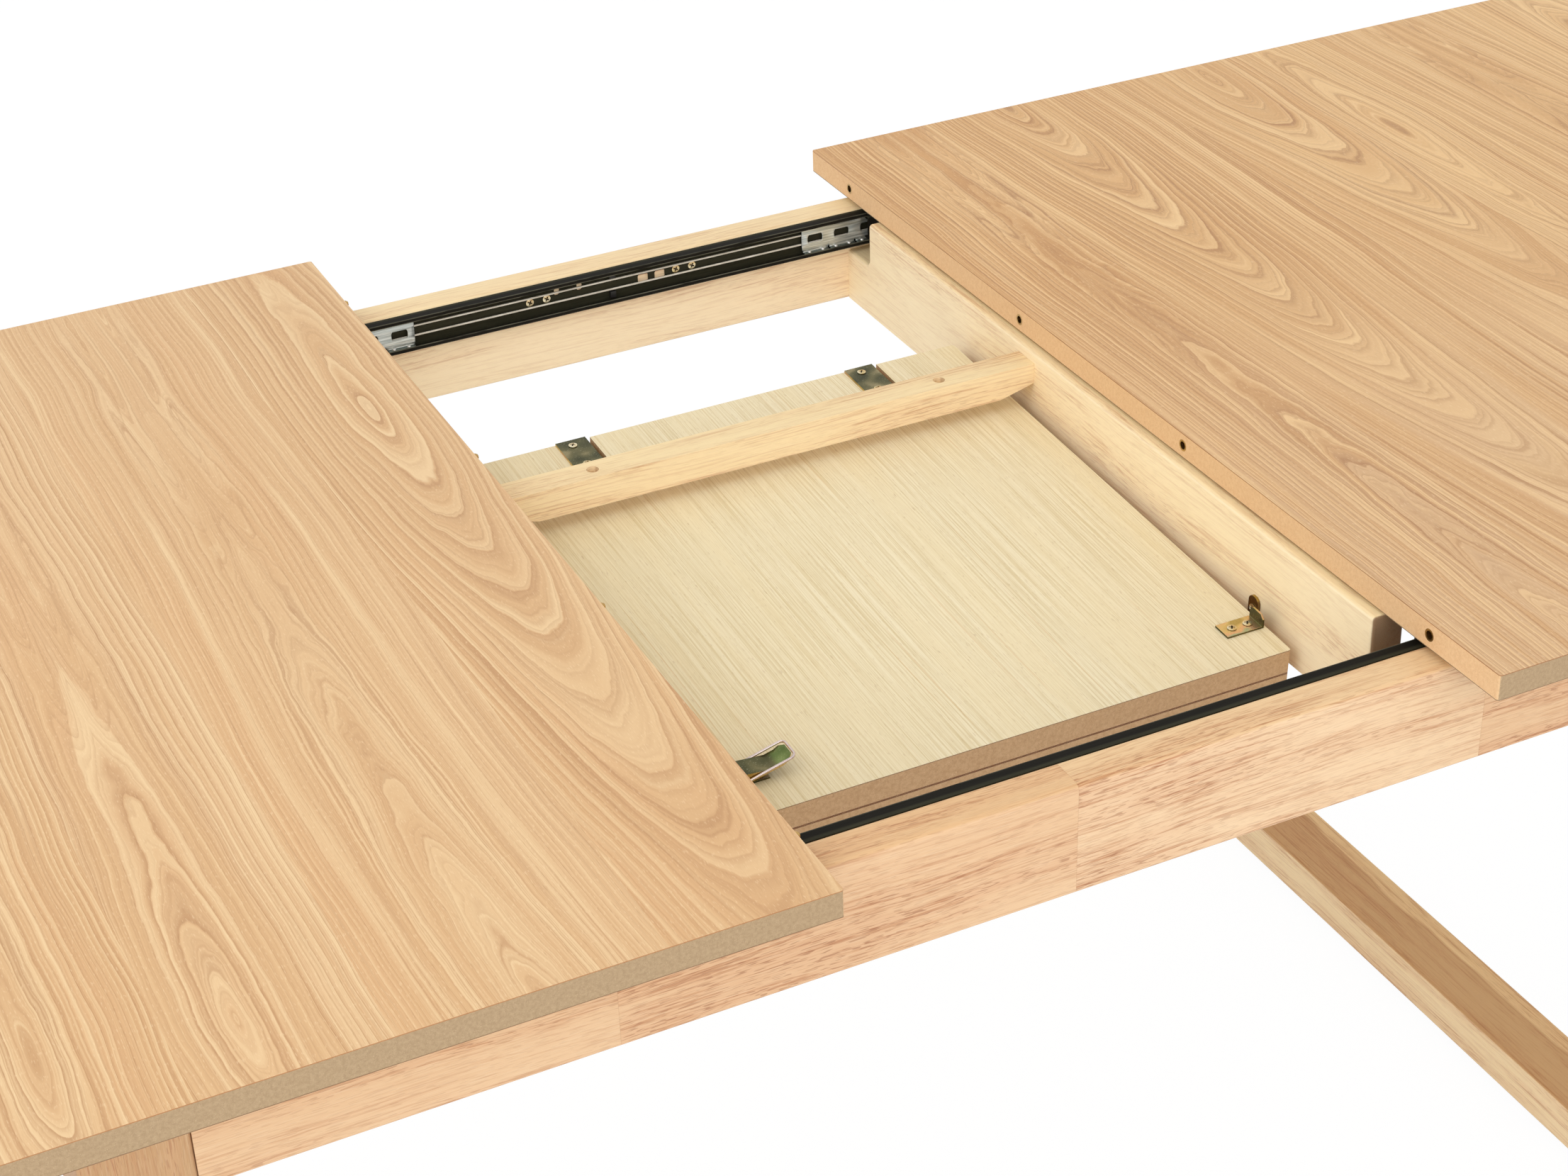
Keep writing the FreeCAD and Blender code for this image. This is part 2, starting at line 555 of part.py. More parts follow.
def cable_loop(face):
    """Two long runs and a half ring round the pulley at each end, joined as one loop."""
    y = across(face, "cable_depth")
    pieces = [rod(facing("-pulley_x", y, f"{SLIDE_Z} + {run}*pulley_pitch", "+x"),
                  "cable_radius", "2*pulley_x") for run in (-1, 1)]
    for _, side in SIDES:
        ring = make("Part::Torus", Radius1="pulley_pitch", Radius2="cable_radius")
        ring.Angle3 = 180
        pieces.append(seat(ring, at(signed(side, "pulley_x"), y, SLIDE_Z, X_AXIS, "90"),
                           at(angle=f"{-90 * side}")))
    return joined(pieces)


node("outer_channels", together([outer_channel(face) for _, face in FACES]))
node("channel_stops", together([
    block(("0", across(face, "channel_wall + stop_depth/2"), f"{SLIDE_Z} + {lift}*stop_offset"),
          ("stop_length", "stop_depth", "stop_height")) for _, face in FACES for lift in (-1, 1)]))
node("sync_cables", together([cable_loop(face) for _, face in FACES]))

GROOVE_LOW = "cable_depth - cable_radius - cable_play"
GROOVE_HIGH = "cable_depth + cable_radius + cable_play"
ROOT = "pulley_pitch - cable_radius - cable_play"
pulley = lathe([
    ("0", "pulley_play"), ("pulley_spindle", "pulley_play"),
    ("pulley_spindle", f"{GROOVE_LOW} - pulley_flange"),
    ("pulley_radius", f"{GROOVE_LOW} - pulley_flange"), ("pulley_radius", GROOVE_LOW),
    (ROOT, GROOVE_LOW), (ROOT, GROOVE_HIGH),
    ("pulley_radius", GROOVE_HIGH), ("pulley_radius", f"{GROOVE_HIGH} + pulley_flange"),
    ("0", f"{GROOVE_HIGH} + pulley_flange")])


def ball_cage(side, face):
    """A thin strip behind the moving member, with a ledge above and a falling flap below."""
    rise, ledge, web_out = BALL_RISE, "cage_ledge_wall", "cage_depth + cage_wall"
    top, under = f"{rise} + {ledge}/2", f"{rise} - {ledge}/2"
    hip = f"-({rise}) + flap_fall"
    outline = [("cage_depth", top), ("cage_ledge_end", top), ("cage_ledge_end", under),
               (web_out, under), (web_out, hip), ("cage_ledge_end", f"-({rise}) + {ledge}/2"),
               ("cage_ledge_end", f"-({rise}) - {ledge}/2"), ("cage_depth", f"{hip} - {ledge}")]
    body = extrusion("YZ", [(across(face, depth), f"{SLIDE_Z} + {height}") for depth, height in outline],
                     "cage_length")
    seat(body, at(signed(side, "cage_start + cage_length/2")))
    tools, balls = [], []
    for turn in range(-2, 3):
        middle = f"{signed(side, 'cage_start + cage_length/2')} + {turn}*cage_pitch"
        tools.append(block((middle, across(face, "cage_depth + cage_wall/2"), SLIDE_Z),
                           ("window_length", "cage_wall + overrun", "window_height")))
        if turn < 2:
            slit_y = across(face, f"({web_out} + cage_ledge_end)/2 + {ledge}")
            tools.append(block((f"{middle} + cage_pitch/2", slit_y, f"{SLIDE_Z} - {rise}"),
                               ("flap_slit", f"cage_ledge_end - ({web_out}) + {ledge}", "2*flap_fall")))
        for ball_side in (-1, 1):
            for level in (-1, 1):
                place = (f"{middle} + {ball_side}*ball_spread", across(face, "ball_depth"),
                         f"{SLIDE_Z} + {level}*({rise})")
                balls.append(seat(make("Part::Sphere", Radius="ball_radius"), at(*place)))
                tools.append(rod(at(place[0], place[1], f"{place[2]} - flap_fall"),
                                 "ball_radius + ball_hole_play", "2*flap_fall"))
    return [cut(body, tools)] + balls


def inner_member(side, face):
    """A channel that faces the cage, with a flange for the top and a fork on the cable."""
    web_in, web_out = "inner_web_depth", "inner_web_depth + inner_wall"
    lift, half = f"{UNDER} - {SLIDE_Z}", INNER_HALF
    outline = [("inner_depth", half), (web_in, half), (web_in, lift),
               (f"{web_out} + inner_flange", lift),
               (f"{web_out} + inner_flange", f"{lift} - inner_flange_wall"),
               (web_out, f"{lift} - inner_flange_wall"), (web_out, f"-{half}"),
               ("inner_depth", f"-{half}"), ("inner_depth", f"-{half} + inner_wall"),
               (web_in, f"-{half} + inner_wall"), (web_in, f"{half} - inner_wall"),
               ("inner_depth", f"{half} - inner_wall")]
    body = extrusion("YZ", [(across(face, depth), f"{SLIDE_Z} + ({rise})") for depth, rise in outline],
                     "inner_length")
    seat(body, at(signed(side, "inner_start + inner_length/2")))
    cable_z = f"{SLIDE_Z} + {-side}*pulley_pitch"
    fork = block((signed(side, "fork_x"), across(face, "(inner_web_depth + fork_depth)/2"), cable_z),
                 ("fork_length", "inner_web_depth - fork_depth", "fork_height"))
    slot_end = "cable_depth + cable_radius + cable_play"
    slot = block((signed(side, "fork_x"), across(face, f"({slot_end})/2"), cable_z),
                 ("fork_length + 2*overrun", slot_end, "2*cable_radius + 2*cable_play"))
    holes = screw_holes(slide_screws(side, face), play="screw_play", depth="inner_flange_wall + overrun")
    return cut(joined([body, fork]), holes + [slot])


def slide_screws(side, face):
    """Screws up through a moving member's flange into the top."""
    y = across(face, "inner_web_depth + inner_wall + inner_flange*0.55")
    return [facing(signed(side, f"slide_screw_first + {step}*slide_screw_pitch"), y,
                   f"{UNDER} - inner_flange_wall", "-z") for step in range(3)]


for side_name, side in SIDES:
    node(f"pulleys_{side_name}", together([
        copy_of(pulley, facing(signed(side, "pulley_x"), across(face, "0"), SLIDE_Z,
                               "-y" if face > 0 else "+y")) for _, face in FACES]))
    node(f"ball_cages_{side_name}", together(ball_cage(side, -1) + ball_cage(side, 1)))
    node(f"inner_slides_{side_name}", together([inner_member(side, face) for _, face in FACES]))


# Boards: an edge frame for fittings, the core and its two veneers

def on_board(x, y, z, inward, upward):
    """A fitting's frame: its X runs in from the board's edge and its Z out from the face."""
    if upward > 0:
        return at(x, y, z, Z_AXIS, "0" if inward > 0 else "180")
    return at(x, y, z, X_AXIS if inward > 0 else Y_AXIS, "180")


latch_screws = [at(f"latch_screw_first + {step}*latch_screw_pitch", "0", "latch_metal")
                for step in (0, 1)]
catch_screws = [at(f"catch_setback + catch_screw_first + {step}*catch_screw_pitch", "0", "catch_metal")
                for step in (0, 1)]

pin = lathe([("0", "-pin_seat"), ("pin_radius", "-pin_seat"), ("pin_radius", "pin_reach - pin_nose"),
             ("pin_radius - pin_nose*0.6", "pin_reach"), ("0", "pin_reach")])
bush = lathe([("bush_bore", "-bush_length"), ("bush_radius", "-bush_length"),
              ("bush_radius", "-bush_collar"), ("bush_collar_radius", "-bush_collar"),
              ("bush_collar_radius", "0"), ("bush_bore", "0")])


def pin_pockets(spots):
    return [rod(at("0", "0", "-pin_seat"), "pin_radius", "pin_seat + overrun", spot) for spot in spots]


def bush_pockets(spots):
    return [rod(at("0", "0", f"-{depth}"), radius, f"{depth} + overrun", spot)
            for depth, radius in (("bush_length", "bush_radius"), ("bush_collar", "bush_collar_radius"))
            for spot in spots]


def sheet_of_wood(x_low, x_high, y_low, y_high, z_low, thickness, tools):
    """A flat board or sheet with four rounded corners and its holes."""
    outline = [(x_low, y_low), (x_high, y_low), (x_high, y_high), (x_low, y_high)]
    body = extrusion("XY", outline, thickness, middle=False, rounds=[((0, 1, 2, 3), "corner_round")])
    seat(body, at("0", "0", z_low))
    return cut(body, tools)


def edge_spots(x, ys, z, way):
    return [facing(x, y, z, way) for y in ys]


# Tops

def top(side_name, side):
    edge, far = signed(side, "opening/2"), signed(side, "opening/2 + top_length")
    x_low, x_high = (edge, far) if side > 0 else (far, edge)
    pin_ys = [f"{sign}*{name}" for sign in (-1, 1) for name in ("pin_inner", "pin_outer")]
    spots = edge_spots(edge, pin_ys, PIN_Z, "-x" if side > 0 else "+x")
    frames = [on_board(edge, signed(face, LATCH_Y), UNDER, side, -1) for _, face in FACES]
    local = latch_screws if side > 0 else catch_screws
    screws = [f"{frame} * {spot}" for frame in frames for spot in local]
    screws += [spot for _, face in FACES for spot in slide_screws(side, face)]
    holes = [screw_holes(screws) for _ in range(2)]
    pockets = bush_pockets(spots) if side > 0 else pin_pockets(spots)
    size = (x_low, x_high, "-top_width/2", "top_width/2")
    node(f"top_core_{side_name}", sheet_of_wood(*size, f"{UNDER} + veneer_thickness", "core_thickness",
                                                holes[0] + pockets))
    show = extrusion("XY", [(x_low, size[2]), (x_high, size[2]), (x_high, size[3]), (x_low, size[3])],
                     "veneer_thickness", middle=False, rounds=[((0, 1, 2, 3), "corner_round")])
    seat(show, at("0", "0", "table_height - veneer_thickness"))
    under = sheet_of_wood(*size, UNDER, "veneer_thickness", holes[1])
    node(f"top_veneers_{side_name}", together([show, under]))
    node(f"top_screws_{side_name}", together(screws_at(screws)))
    if side > 0:
        node("top_bushes", together([copy_of(bush, spot) for spot in spots]))
    else:
        node("top_pins", together([copy_of(pin, spot) for spot in spots]))
    return frames


top_frames = {side: top(side_name, side) for side_name, side in SIDES}


# Catches and toggle latches

def catch():
    """A bent plate whose lip stands at the board's edge."""
    half, low, high = "catch_width/2", "catch_setback", "catch_setback + catch_length"
    plate = block(("catch_setback + catch_length/2", "0", "catch_metal/2"),
                  ("catch_length", "catch_width", "catch_metal"))
    lip = extrusion("YZ", [(f"-{half}", "0"), (half, "0"), (half, "catch_rise - catch_corner"),
                           (f"{half} - catch_corner", "catch_rise"),
                           (f"-{half} + catch_corner", "catch_rise"),
                           (f"-{half}", "catch_rise - catch_corner")], "catch_metal")
    seat(lip, at(f"{low} + catch_metal/2"))
    return cut(joined([plate, lip]), screw_holes(catch_screws, play="screw_play",
                                                 depth="catch_metal + overrun"))


def latch_base():
    """Floor plate with two ears, and the axle with its barrel between them."""
    floor = block(("latch_base_start + latch_base_length/2", "0", "latch_metal/2"),
                  ("latch_base_length", "latch_span", "latch_metal"))
    low, high = "latch_axle - ear_length/2", "latch_axle + ear_length/2"
    pieces = [floor]
    for _, sign in FACES:
        ear = extrusion("XZ", [(low, "0"), (high, "0"), (f"{high} - ear_slant", "ear_rise"),
                               (f"{low} + ear_slant", "ear_rise")], "latch_metal",
                        rounds=[((2, 3), "ear_slant")])
        pieces.append(seat(ear, at("0", signed(sign, "(latch_span - latch_metal)/2"))))
    axle_hole = rod(facing("latch_axle", "-latch_span", "latch_axle_rise", "+y"),
                    "latch_axle_radius", "2*latch_span")
    holes = screw_holes(latch_screws, play="screw_play", depth="latch_metal + overrun")
    axle_end = f"{CHEEK_OUT} + latch_metal/2"
    axle = rod(facing("latch_axle", f"-({axle_end})", "latch_axle_rise", "+y"),
               "latch_axle_radius", f"2*({axle_end})")
    barrel_end = "latch_span/2 - latch_metal - latch_play"
    barrel = rod(facing("latch_axle", f"-({barrel_end})", "latch_axle_rise", "+y"),
                 "barrel_radius", f"2*({barrel_end})")
    return together([cut(joined(pieces), holes + [axle_hole]), joined([axle, barrel])])


def latch_lever():
    """A bent plate over two cheeks that turn on the axle."""
    metal = "latch_metal"
    bend_x = "(lever_knee + lever_tip)/2"
    bend_rise = "lever_knee_rise + (lever_tip_rise - lever_knee_rise)*0.3"
    strip = extrusion("XZ", [
        ("lever_plate_start", "lever_rise"), ("lever_knee", "lever_knee_rise"), (bend_x, bend_rise),
        ("lever_tip", "lever_tip_rise"), ("lever_tip", f"lever_tip_rise - {metal}*1.2"),
        (bend_x, f"{bend_rise} - {metal}*1.1"),
        ("lever_knee", f"lever_knee_rise - {metal}"), ("lever_plate_start", f"lever_rise - {metal}")],
        f"2*({CHEEK_OUT})")
    nose = "latch_axle - ear_length*0.45"
    cheek = [(nose, "latch_axle_rise"), (f"{nose} + {metal}", "cheek_low"),
             ("latch_axle + ear_length*0.4", "cheek_low*0.8"), ("bail_pivot + ear_slant", "cheek_low"),
             ("lever_knee", f"lever_knee_rise - {metal}"), ("lever_knee", "lever_knee_rise"),
             ("lever_plate_start", "lever_rise"), ("latch_axle", "lever_rise")]
    pieces = [strip]
    for _, sign in FACES:
        plate = extrusion("XZ", cheek, metal)
        pieces.append(seat(plate, at("0", signed(sign, f"({CHEEK_IN} + {CHEEK_OUT})/2"))))
    width = f"2*({CHEEK_OUT}) + 2*overrun"
    holes = [rod(facing(x, f"-({width})/2", z, "+y"), radius, width) for x, z, radius in (
        ("latch_axle", "latch_axle_rise", "latch_axle_radius + hinge_play"),
        ("bail_pivot", "bail_pivot_rise", "bail_wire + hinge_play"))]
    corner = "lever_tip_corner*sqrt(2)"
    for _, sign in FACES:
        tip = at("lever_tip", signed(sign, CHEEK_OUT), "lever_tip_rise", Z_AXIS, "45")
        holes.append(block(("0", "0", "0"), (corner, corner, "lever_rise"), tip))
    return cut(joined(pieces), holes)


def latch_bail():
    """A wire loop: two hooked ends in the cheeks, two arms and a bar round the lever's tip."""
    arm_y = f"({CHEEK_OUT} + latch_play + bail_wire)"
    pieces = [rod(facing("bail_reach", f"bail_bend - {arm_y}", "0", "+y"), "bail_wire",
                  f"2*({arm_y} - bail_bend)")]
    for _, sign in FACES:
        way = "-y" if sign > 0 else "+y"
        pieces.append(rod(facing("bail_hook_bend", signed(sign, arm_y), "0", "+x"), "bail_wire",
                          "bail_reach - bail_bend - bail_hook_bend"))
        pieces.append(rod(facing("0", signed(sign, f"{arm_y} - bail_hook_bend"), "0", way), "bail_wire",
                          "bail_hook"))
        for x, bend, start in (("bail_reach - bail_bend", "bail_bend", 0 if sign > 0 else -90),
                               ("bail_hook_bend", "bail_hook_bend", 90 if sign > 0 else 180)):
            corner = make("Part::Torus", Radius1=bend, Radius2="bail_wire")
            corner.Angle3 = 90
            middle = at(x, signed(sign, f"{arm_y} - {bend}"), "0", Z_AXIS, str(start))
            pieces.append(seat(corner, middle))
    return joined(pieces)


BAIL_PLACE = at("bail_pivot", "0", "bail_pivot_rise", Y_AXIS, "-bail_tilt")

node("top_catches", together([seat(catch(), frame) for frame in top_frames[-1]]))
node("top_latch_bases", together([seat(latch_base(), frame) for frame in top_frames[1]]))
for (face_name, _), frame in zip(FACES, top_frames[1]):
    node(f"top_latch_lever_{face_name}", seat(latch_lever(), frame))
    node(f"top_latch_bail_{face_name}", seat(latch_bail(), frame, BAIL_PLACE))


# Leaf halves, each with its veneers, hinge plates, pins, bushes, latch, catch and screws

def hinge_plates(level):
    """Two flat plates on the half's back, each with an arm down a slot to the hinge line."""
    plates = []
    for _, sign in SIDES:
        slot = f"({sign}*hinge_spread + hinge_plate_width/2)"
        slot_far = f"({slot} + hinge_slot_width)"
        if level > 0:
            x_low, x_high, arm = f"{slot} - hinge_plate_width", slot, f"{slot} + hinge_arm_play"
            bridge_low, bridge_high = slot, f"{arm} + hinge_arm"
        else:
            x_low, x_high = slot_far, f"{slot_far} + hinge_plate_width"
            arm = f"{slot_far} - hinge_arm_play - hinge_arm"
            bridge_low, bridge_high = arm, slot_far
        face, metal = HALF_FACE, "hinge_metal"
        flange = extrusion("XY", [(x_low, "-hinge_plate_length"), (x_high, "-hinge_plate_length"),
                                  (x_high, "0"), (x_low, "0")], metal,
                           rounds=[((0, 1), "hinge_corner")])
        seat(flange, at("0", "0", signed(level, f"{face} + {metal}/2")))
        bridge_middle = (f"({bridge_low} + {bridge_high})/2", "-hinge_slot_length/2 + hinge_arm_play",
                         signed(level, f"{face} + {metal}/2"))
        bridge = block(bridge_middle, (f"{bridge_high} - ({bridge_low})",
                                       "hinge_slot_length - 3*hinge_arm_play", metal))
        outline = [("-hinge_slot_length + 2*hinge_arm_play", signed(level, face)),
                   ("-hinge_slot_length*0.6", signed(level, f"{face}*0.45")),
                   ("-hinge_eye_radius*0.8", signed(level, "hinge_eye_radius*0.6")),
                   ("hinge_eye_radius*0.8", signed(level, "hinge_eye_radius*0.6")),
                   ("0", signed(level, f"{face} + {metal}")),
                   ("-hinge_slot_length + 2*hinge_arm_play", signed(level, f"{face} + {metal}"))]
        arm_plate = seat(extrusion("YZ", outline, "hinge_arm"), at(f"{arm} + hinge_arm/2"))
        eye = rod(facing(arm, "0", "0", "+x"), "hinge_eye_radius", "hinge_arm")
        radius = "hinge_pin_radius" + (" + hinge_play" if level > 0 else "")
        eye_hole = rod(facing(f"{arm} - overrun", "0", "0", "+x"), radius, "hinge_arm + 2*overrun")
        holes = screw_holes(hinge_screws(sign, level), play="screw_play", depth=f"{metal} + overrun")
        plates.append(cut(joined([flange, bridge, arm_plate, eye]), holes + [eye_hole]))
        if level < 0:
            plates.append(rod(facing(f"{slot} + hinge_play", "0", "0", "+x"), "hinge_pin_radius",
                              "hinge_slot_width - 2*hinge_play"))
    return together(plates)


def hinge_screws(sign, level):
    middle = f"{sign}*hinge_spread"
    if level < 0:
        middle += " + hinge_plate_width + hinge_slot_width"
    return [facing(middle, f"-hinge_screw_first - {step}*hinge_screw_pitch",
                   signed(level, f"{HALF_FACE} + hinge_metal"), "+z" if level > 0 else "-z")
            for step in (0, 1)]


def leaf_half(name, level):
    edge, y = "leaf_length/2", f"-{LATCH_Y}"
    latch_frame = on_board(f"-{edge}", y, signed(level, HALF_FACE), 1, level)
    catch_frame = on_board(edge, y, signed(level, HALF_FACE), -1, level)
    screws = [f"{latch_frame} * {spot}" for spot in latch_screws]
    screws += [f"{catch_frame} * {spot}" for spot in catch_screws]
    screws += [spot for _, sign in SIDES for spot in hinge_screws(sign, level)]
    middle_z = signed(level, f"leaf_gap/2 + {BOARD}/2")
    pins = edge_spots(edge, ["-pin_inner", "-pin_outer"], middle_z, "+x")
    bushes = edge_spots(f"-{edge}", ["-pin_inner", "-pin_outer"], middle_z, "-x")
    slots = [[block((f"{sign}*hinge_spread + hinge_plate_width/2 + hinge_slot_width/2",
                     "overrun/2 - hinge_slot_length/2", middle_z),
                    ("hinge_slot_width", "hinge_slot_length + overrun", f"{BOARD} + 2*overrun"))
              for _, sign in SIDES] for _ in range(3)]
    size = (f"-{edge}", edge, "-top_width/2", "0")
    low = "leaf_gap/2" if level > 0 else f"-{HALF_FACE}"
    core = sheet_of_wood(*size, f"{low} + veneer_thickness", "core_thickness",
                         screw_holes(screws) + pin_pockets(pins) + bush_pockets(bushes) + slots[0])
    node(f"leaf_{name}_core", seat(core, LEAF))
    drilled, plain = (f"{low} + {BOARD} - veneer_thickness", low)
    if level < 0:
        drilled, plain = plain, drilled
    back = sheet_of_wood(*size, drilled, "veneer_thickness", screw_holes(screws) + slots[1])
    show = sheet_of_wood(*size, plain, "veneer_thickness", slots[2])
    node(f"leaf_{name}_veneers", seat(together([back, show]), LEAF))
    node(f"leaf_{name}_hinge_plates", seat(hinge_plates(level), LEAF))
    node(f"leaf_{name}_pins", seat(together([copy_of(pin, spot) for spot in pins]
                                            + [copy_of(bush, spot) for spot in bushes]), LEAF))
    node(f"leaf_{name}_screws", together(screws_at(screws, LEAF)))
    node(f"leaf_{name}_catch", seat(catch(), LEAF, catch_frame))
    node(f"leaf_{name}_latch_base", seat(latch_base(), LEAF, latch_frame))
    node(f"leaf_{name}_latch_lever", seat(latch_lever(), LEAF, latch_frame))
    node(f"leaf_{name}_latch_bail", seat(latch_bail(), LEAF, latch_frame, BAIL_PLACE))


leaf_half("lower", -1)
leaf_half("upper", 1)


# Check every object, then write one file for each node

doc.recompute()
failed = [f"{thing.Name} ({thing.Label}): {thing.State}" for thing in doc.Objects
          if "Invalid" in thing.State or "Error" in thing.State]
if failed:
    raise RuntimeError("objects failed: " + "; ".join(failed))
os.makedirs("parts", exist_ok=True)
for thing in nodes:
    shape = thing.Shape
    if shape.isNull() or not shape.isValid() or not shape.Solids:
        raise RuntimeError(f"{thing.Label} has no valid solid")
    shape.exportStep(f"parts/{thing.Label}.step")
    print(f"{thing.Label}: {len(shape.Solids)} solids, {shape.Volume:.1f} cubic mm")
print(f"{len(nodes)} nodes")
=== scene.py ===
# %% [markdown]
# # An extending dining table, dressed
#
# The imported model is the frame: every board, slide and latch is already at its real size and
# place, in metres. This lesson gives each of them its finish, and rebuilds the small turned and
# stranded pieces as surfaces worked out from formulas. Nothing here moves or resizes a part.

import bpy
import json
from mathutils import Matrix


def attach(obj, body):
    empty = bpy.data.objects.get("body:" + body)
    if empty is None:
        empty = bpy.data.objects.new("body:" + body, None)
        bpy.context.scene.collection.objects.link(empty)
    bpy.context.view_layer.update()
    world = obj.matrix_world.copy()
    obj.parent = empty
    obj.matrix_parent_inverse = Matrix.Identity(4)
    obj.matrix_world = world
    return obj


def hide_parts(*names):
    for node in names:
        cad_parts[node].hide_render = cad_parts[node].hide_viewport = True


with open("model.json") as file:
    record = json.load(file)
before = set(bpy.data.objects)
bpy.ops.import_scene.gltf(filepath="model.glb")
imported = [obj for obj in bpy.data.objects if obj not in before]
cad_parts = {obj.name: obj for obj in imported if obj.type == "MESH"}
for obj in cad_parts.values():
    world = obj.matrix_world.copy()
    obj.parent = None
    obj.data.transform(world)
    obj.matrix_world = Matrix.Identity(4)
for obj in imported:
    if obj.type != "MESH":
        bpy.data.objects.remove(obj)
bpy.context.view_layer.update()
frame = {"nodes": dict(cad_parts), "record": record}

# %% Tools of the lesson
import json
from functools import partialmethod
from math import pi, radians

import bpy
import numpy as np
from mathutils import Quaternion, Vector

scene = bpy.context.scene
MM = 0.001
print("Blender", bpy.app.version_string)

# %% [markdown]
# ## Camera
#
# The photograph is taken from standing height at the near left, with a short telephoto lens, so
# that lines which run along the table stay almost parallel. A camera is placed by where it
# stands, what it looks at, and how far it leans to one side.

# %% Place the camera
CAMERA_PLACE = Vector((-0.7655, -1.5569, 1.6769))
CAMERA_AIM = Vector((-0.1087, -0.1586, 0.7300))
CAMERA_LEAN = radians(-1.93)
LENS_MM, SENSOR_MM = 66.81, 36

lens = bpy.data.cameras.new("camera")
lens.lens, lens.sensor_width = LENS_MM, SENSOR_MM
camera = bpy.data.objects.new("camera", lens)
sight = CAMERA_AIM - CAMERA_PLACE
camera.location = CAMERA_PLACE
camera.rotation_mode = "QUATERNION"
camera.rotation_quaternion = sight.to_track_quat("-Z", "Y") @ Quaternion((0, 0, 1), CAMERA_LEAN)
scene.collection.objects.link(camera)
scene.camera = camera
print("camera stands", round(sight.length, 2), "m from the table")

# %% [markdown]
# ## Shader formulas
#
# A wood figure is a formula: distances, fractions, noise. Node trees make such formulas hard to
# read, so a small class lets plus, minus and times add the Math nodes. What is written below
# then looks like the formula itself.

# %% A socket that can be calculated with
class Wire:
    """The value on a node's socket. Arithmetic on it adds Math nodes to the same tree."""

    def __init__(self, tree, socket):
        self.tree, self.socket = tree, socket

    def math(self, operation, *others):
        made = self.tree.nodes.new("ShaderNodeMath")
        made.operation = operation
        for slot, value in zip(made.inputs, (self, *others)):
            plug(slot, value)
        return Wire(self.tree, made.outputs[0])

    def step(self, low, high):
        """0 below low, 1 above high, and a smooth rise between them. With low above high, the
        value falls instead."""
        return add(self.tree, "MapRange", {"Value": self, "From Min": low, "From Max": high},
                   interpolation_type="SMOOTHSTEP")


SIGNS = {"add": "ADD", "sub": "SUBTRACT", "mul": "MULTIPLY", "truediv": "DIVIDE", "pow": "POWER"}
for sign, operation in SIGNS.items():
    setattr(Wire, f"__{sign}__", partialmethod(Wire.math, operation))


def plug(slot, value):
    """Link a wire to a socket, or set the socket to a plain value."""
    if isinstance(value, Wire):
        value.tree.links.new(value.socket, slot)
    else:
        slot.default_value = value


def add(tree, kind, inputs=None, out=0, **settings):
    """Add a node, fill its sockets, and give back one of its outputs."""
    made = tree.nodes.new(f"ShaderNode{kind}")
    for name, value in settings.items():
        setattr(made, name, value)
    for name, value in (inputs or {}).items():
        plug(made.inputs[name], value)
    return Wire(tree, made.outputs[out])


print("signs that add a node:", ", ".join(SIGNS))

# %% Colours, noise and places
MIX_INPUTS, MIX_OUTPUT = (0, 6, 7), 2  # a Mix node's factor and its two colours, and the result


def paint(red, green, blue):
    """A colour as it shows on a screen, 0 to 255, as the linear colour that shaders use."""
    channels = np.array([red, green, blue]) / 255
    linear = np.where(channels < 0.04045, channels / 12.92, ((channels + 0.055) / 1.055) ** 2.4)
    return (*linear.tolist(), 1.0)


def split(vector):
    made = vector.tree.nodes.new("ShaderNodeSeparateXYZ")
    plug(made.inputs[0], vector)
    return [Wire(vector.tree, socket) for socket in made.outputs]


def tree_of(*values):
    return next(value.tree for value in values if isinstance(value, Wire))


def place(*spot):
    """A vector from two or three coordinates."""
    return add(tree_of(*spot), "CombineXYZ", dict(zip("XYZ", spot)))


def noise(vector, scale=1.0, detail=2.0, rough=0.5):
    """Smooth noise about one half, with features 1/scale across."""
    return add(vector.tree, "TexNoise", {"Vector": vector, "Scale": scale, "Detail": detail,
                                         "Roughness": rough})


def field(spot, detail=2.0, rough=0.5):
    """Noise at a spot of two or three coordinates, counted in features."""
    return noise(place(*spot), 1.0, detail, rough)


def chance(number, salt):
    """A random value from 0 to 1 that stays the same for the same number."""
    return add(number.tree, "TexWhiteNoise", {"W": number + salt}, noise_dimensions="1D")


def blend(factor, first, second, kind="MIX"):
    """Mix two colours. Three plain numbers are a colour as it shows on a screen."""
    mixed = [paint(*value) if isinstance(value, tuple) and len(value) == 3 else value
             for value in (first, second)]
    tree = tree_of(factor, *mixed)
    made = tree.nodes.new("ShaderNodeMix")
    made.data_type, made.blend_type = "RGBA", kind
    for slot, value in zip(MIX_INPUTS, (factor, *mixed)):
        plug(made.inputs[slot], value)
    return Wire(tree, made.outputs[MIX_OUTPUT])


def layers(colour, coats):
    """Each coat is a share and a colour, laid over what is there."""
    for share, coat in coats:
        colour = blend(share, colour, coat)
    return colour


print("a screen grey of 128 is", round(paint(128, 128, 128)[0], 3), "in linear light")

# %% Shader groups and materials
NORMAL, OBJECT = 1, 3  # outputs of the Texture Coordinate node


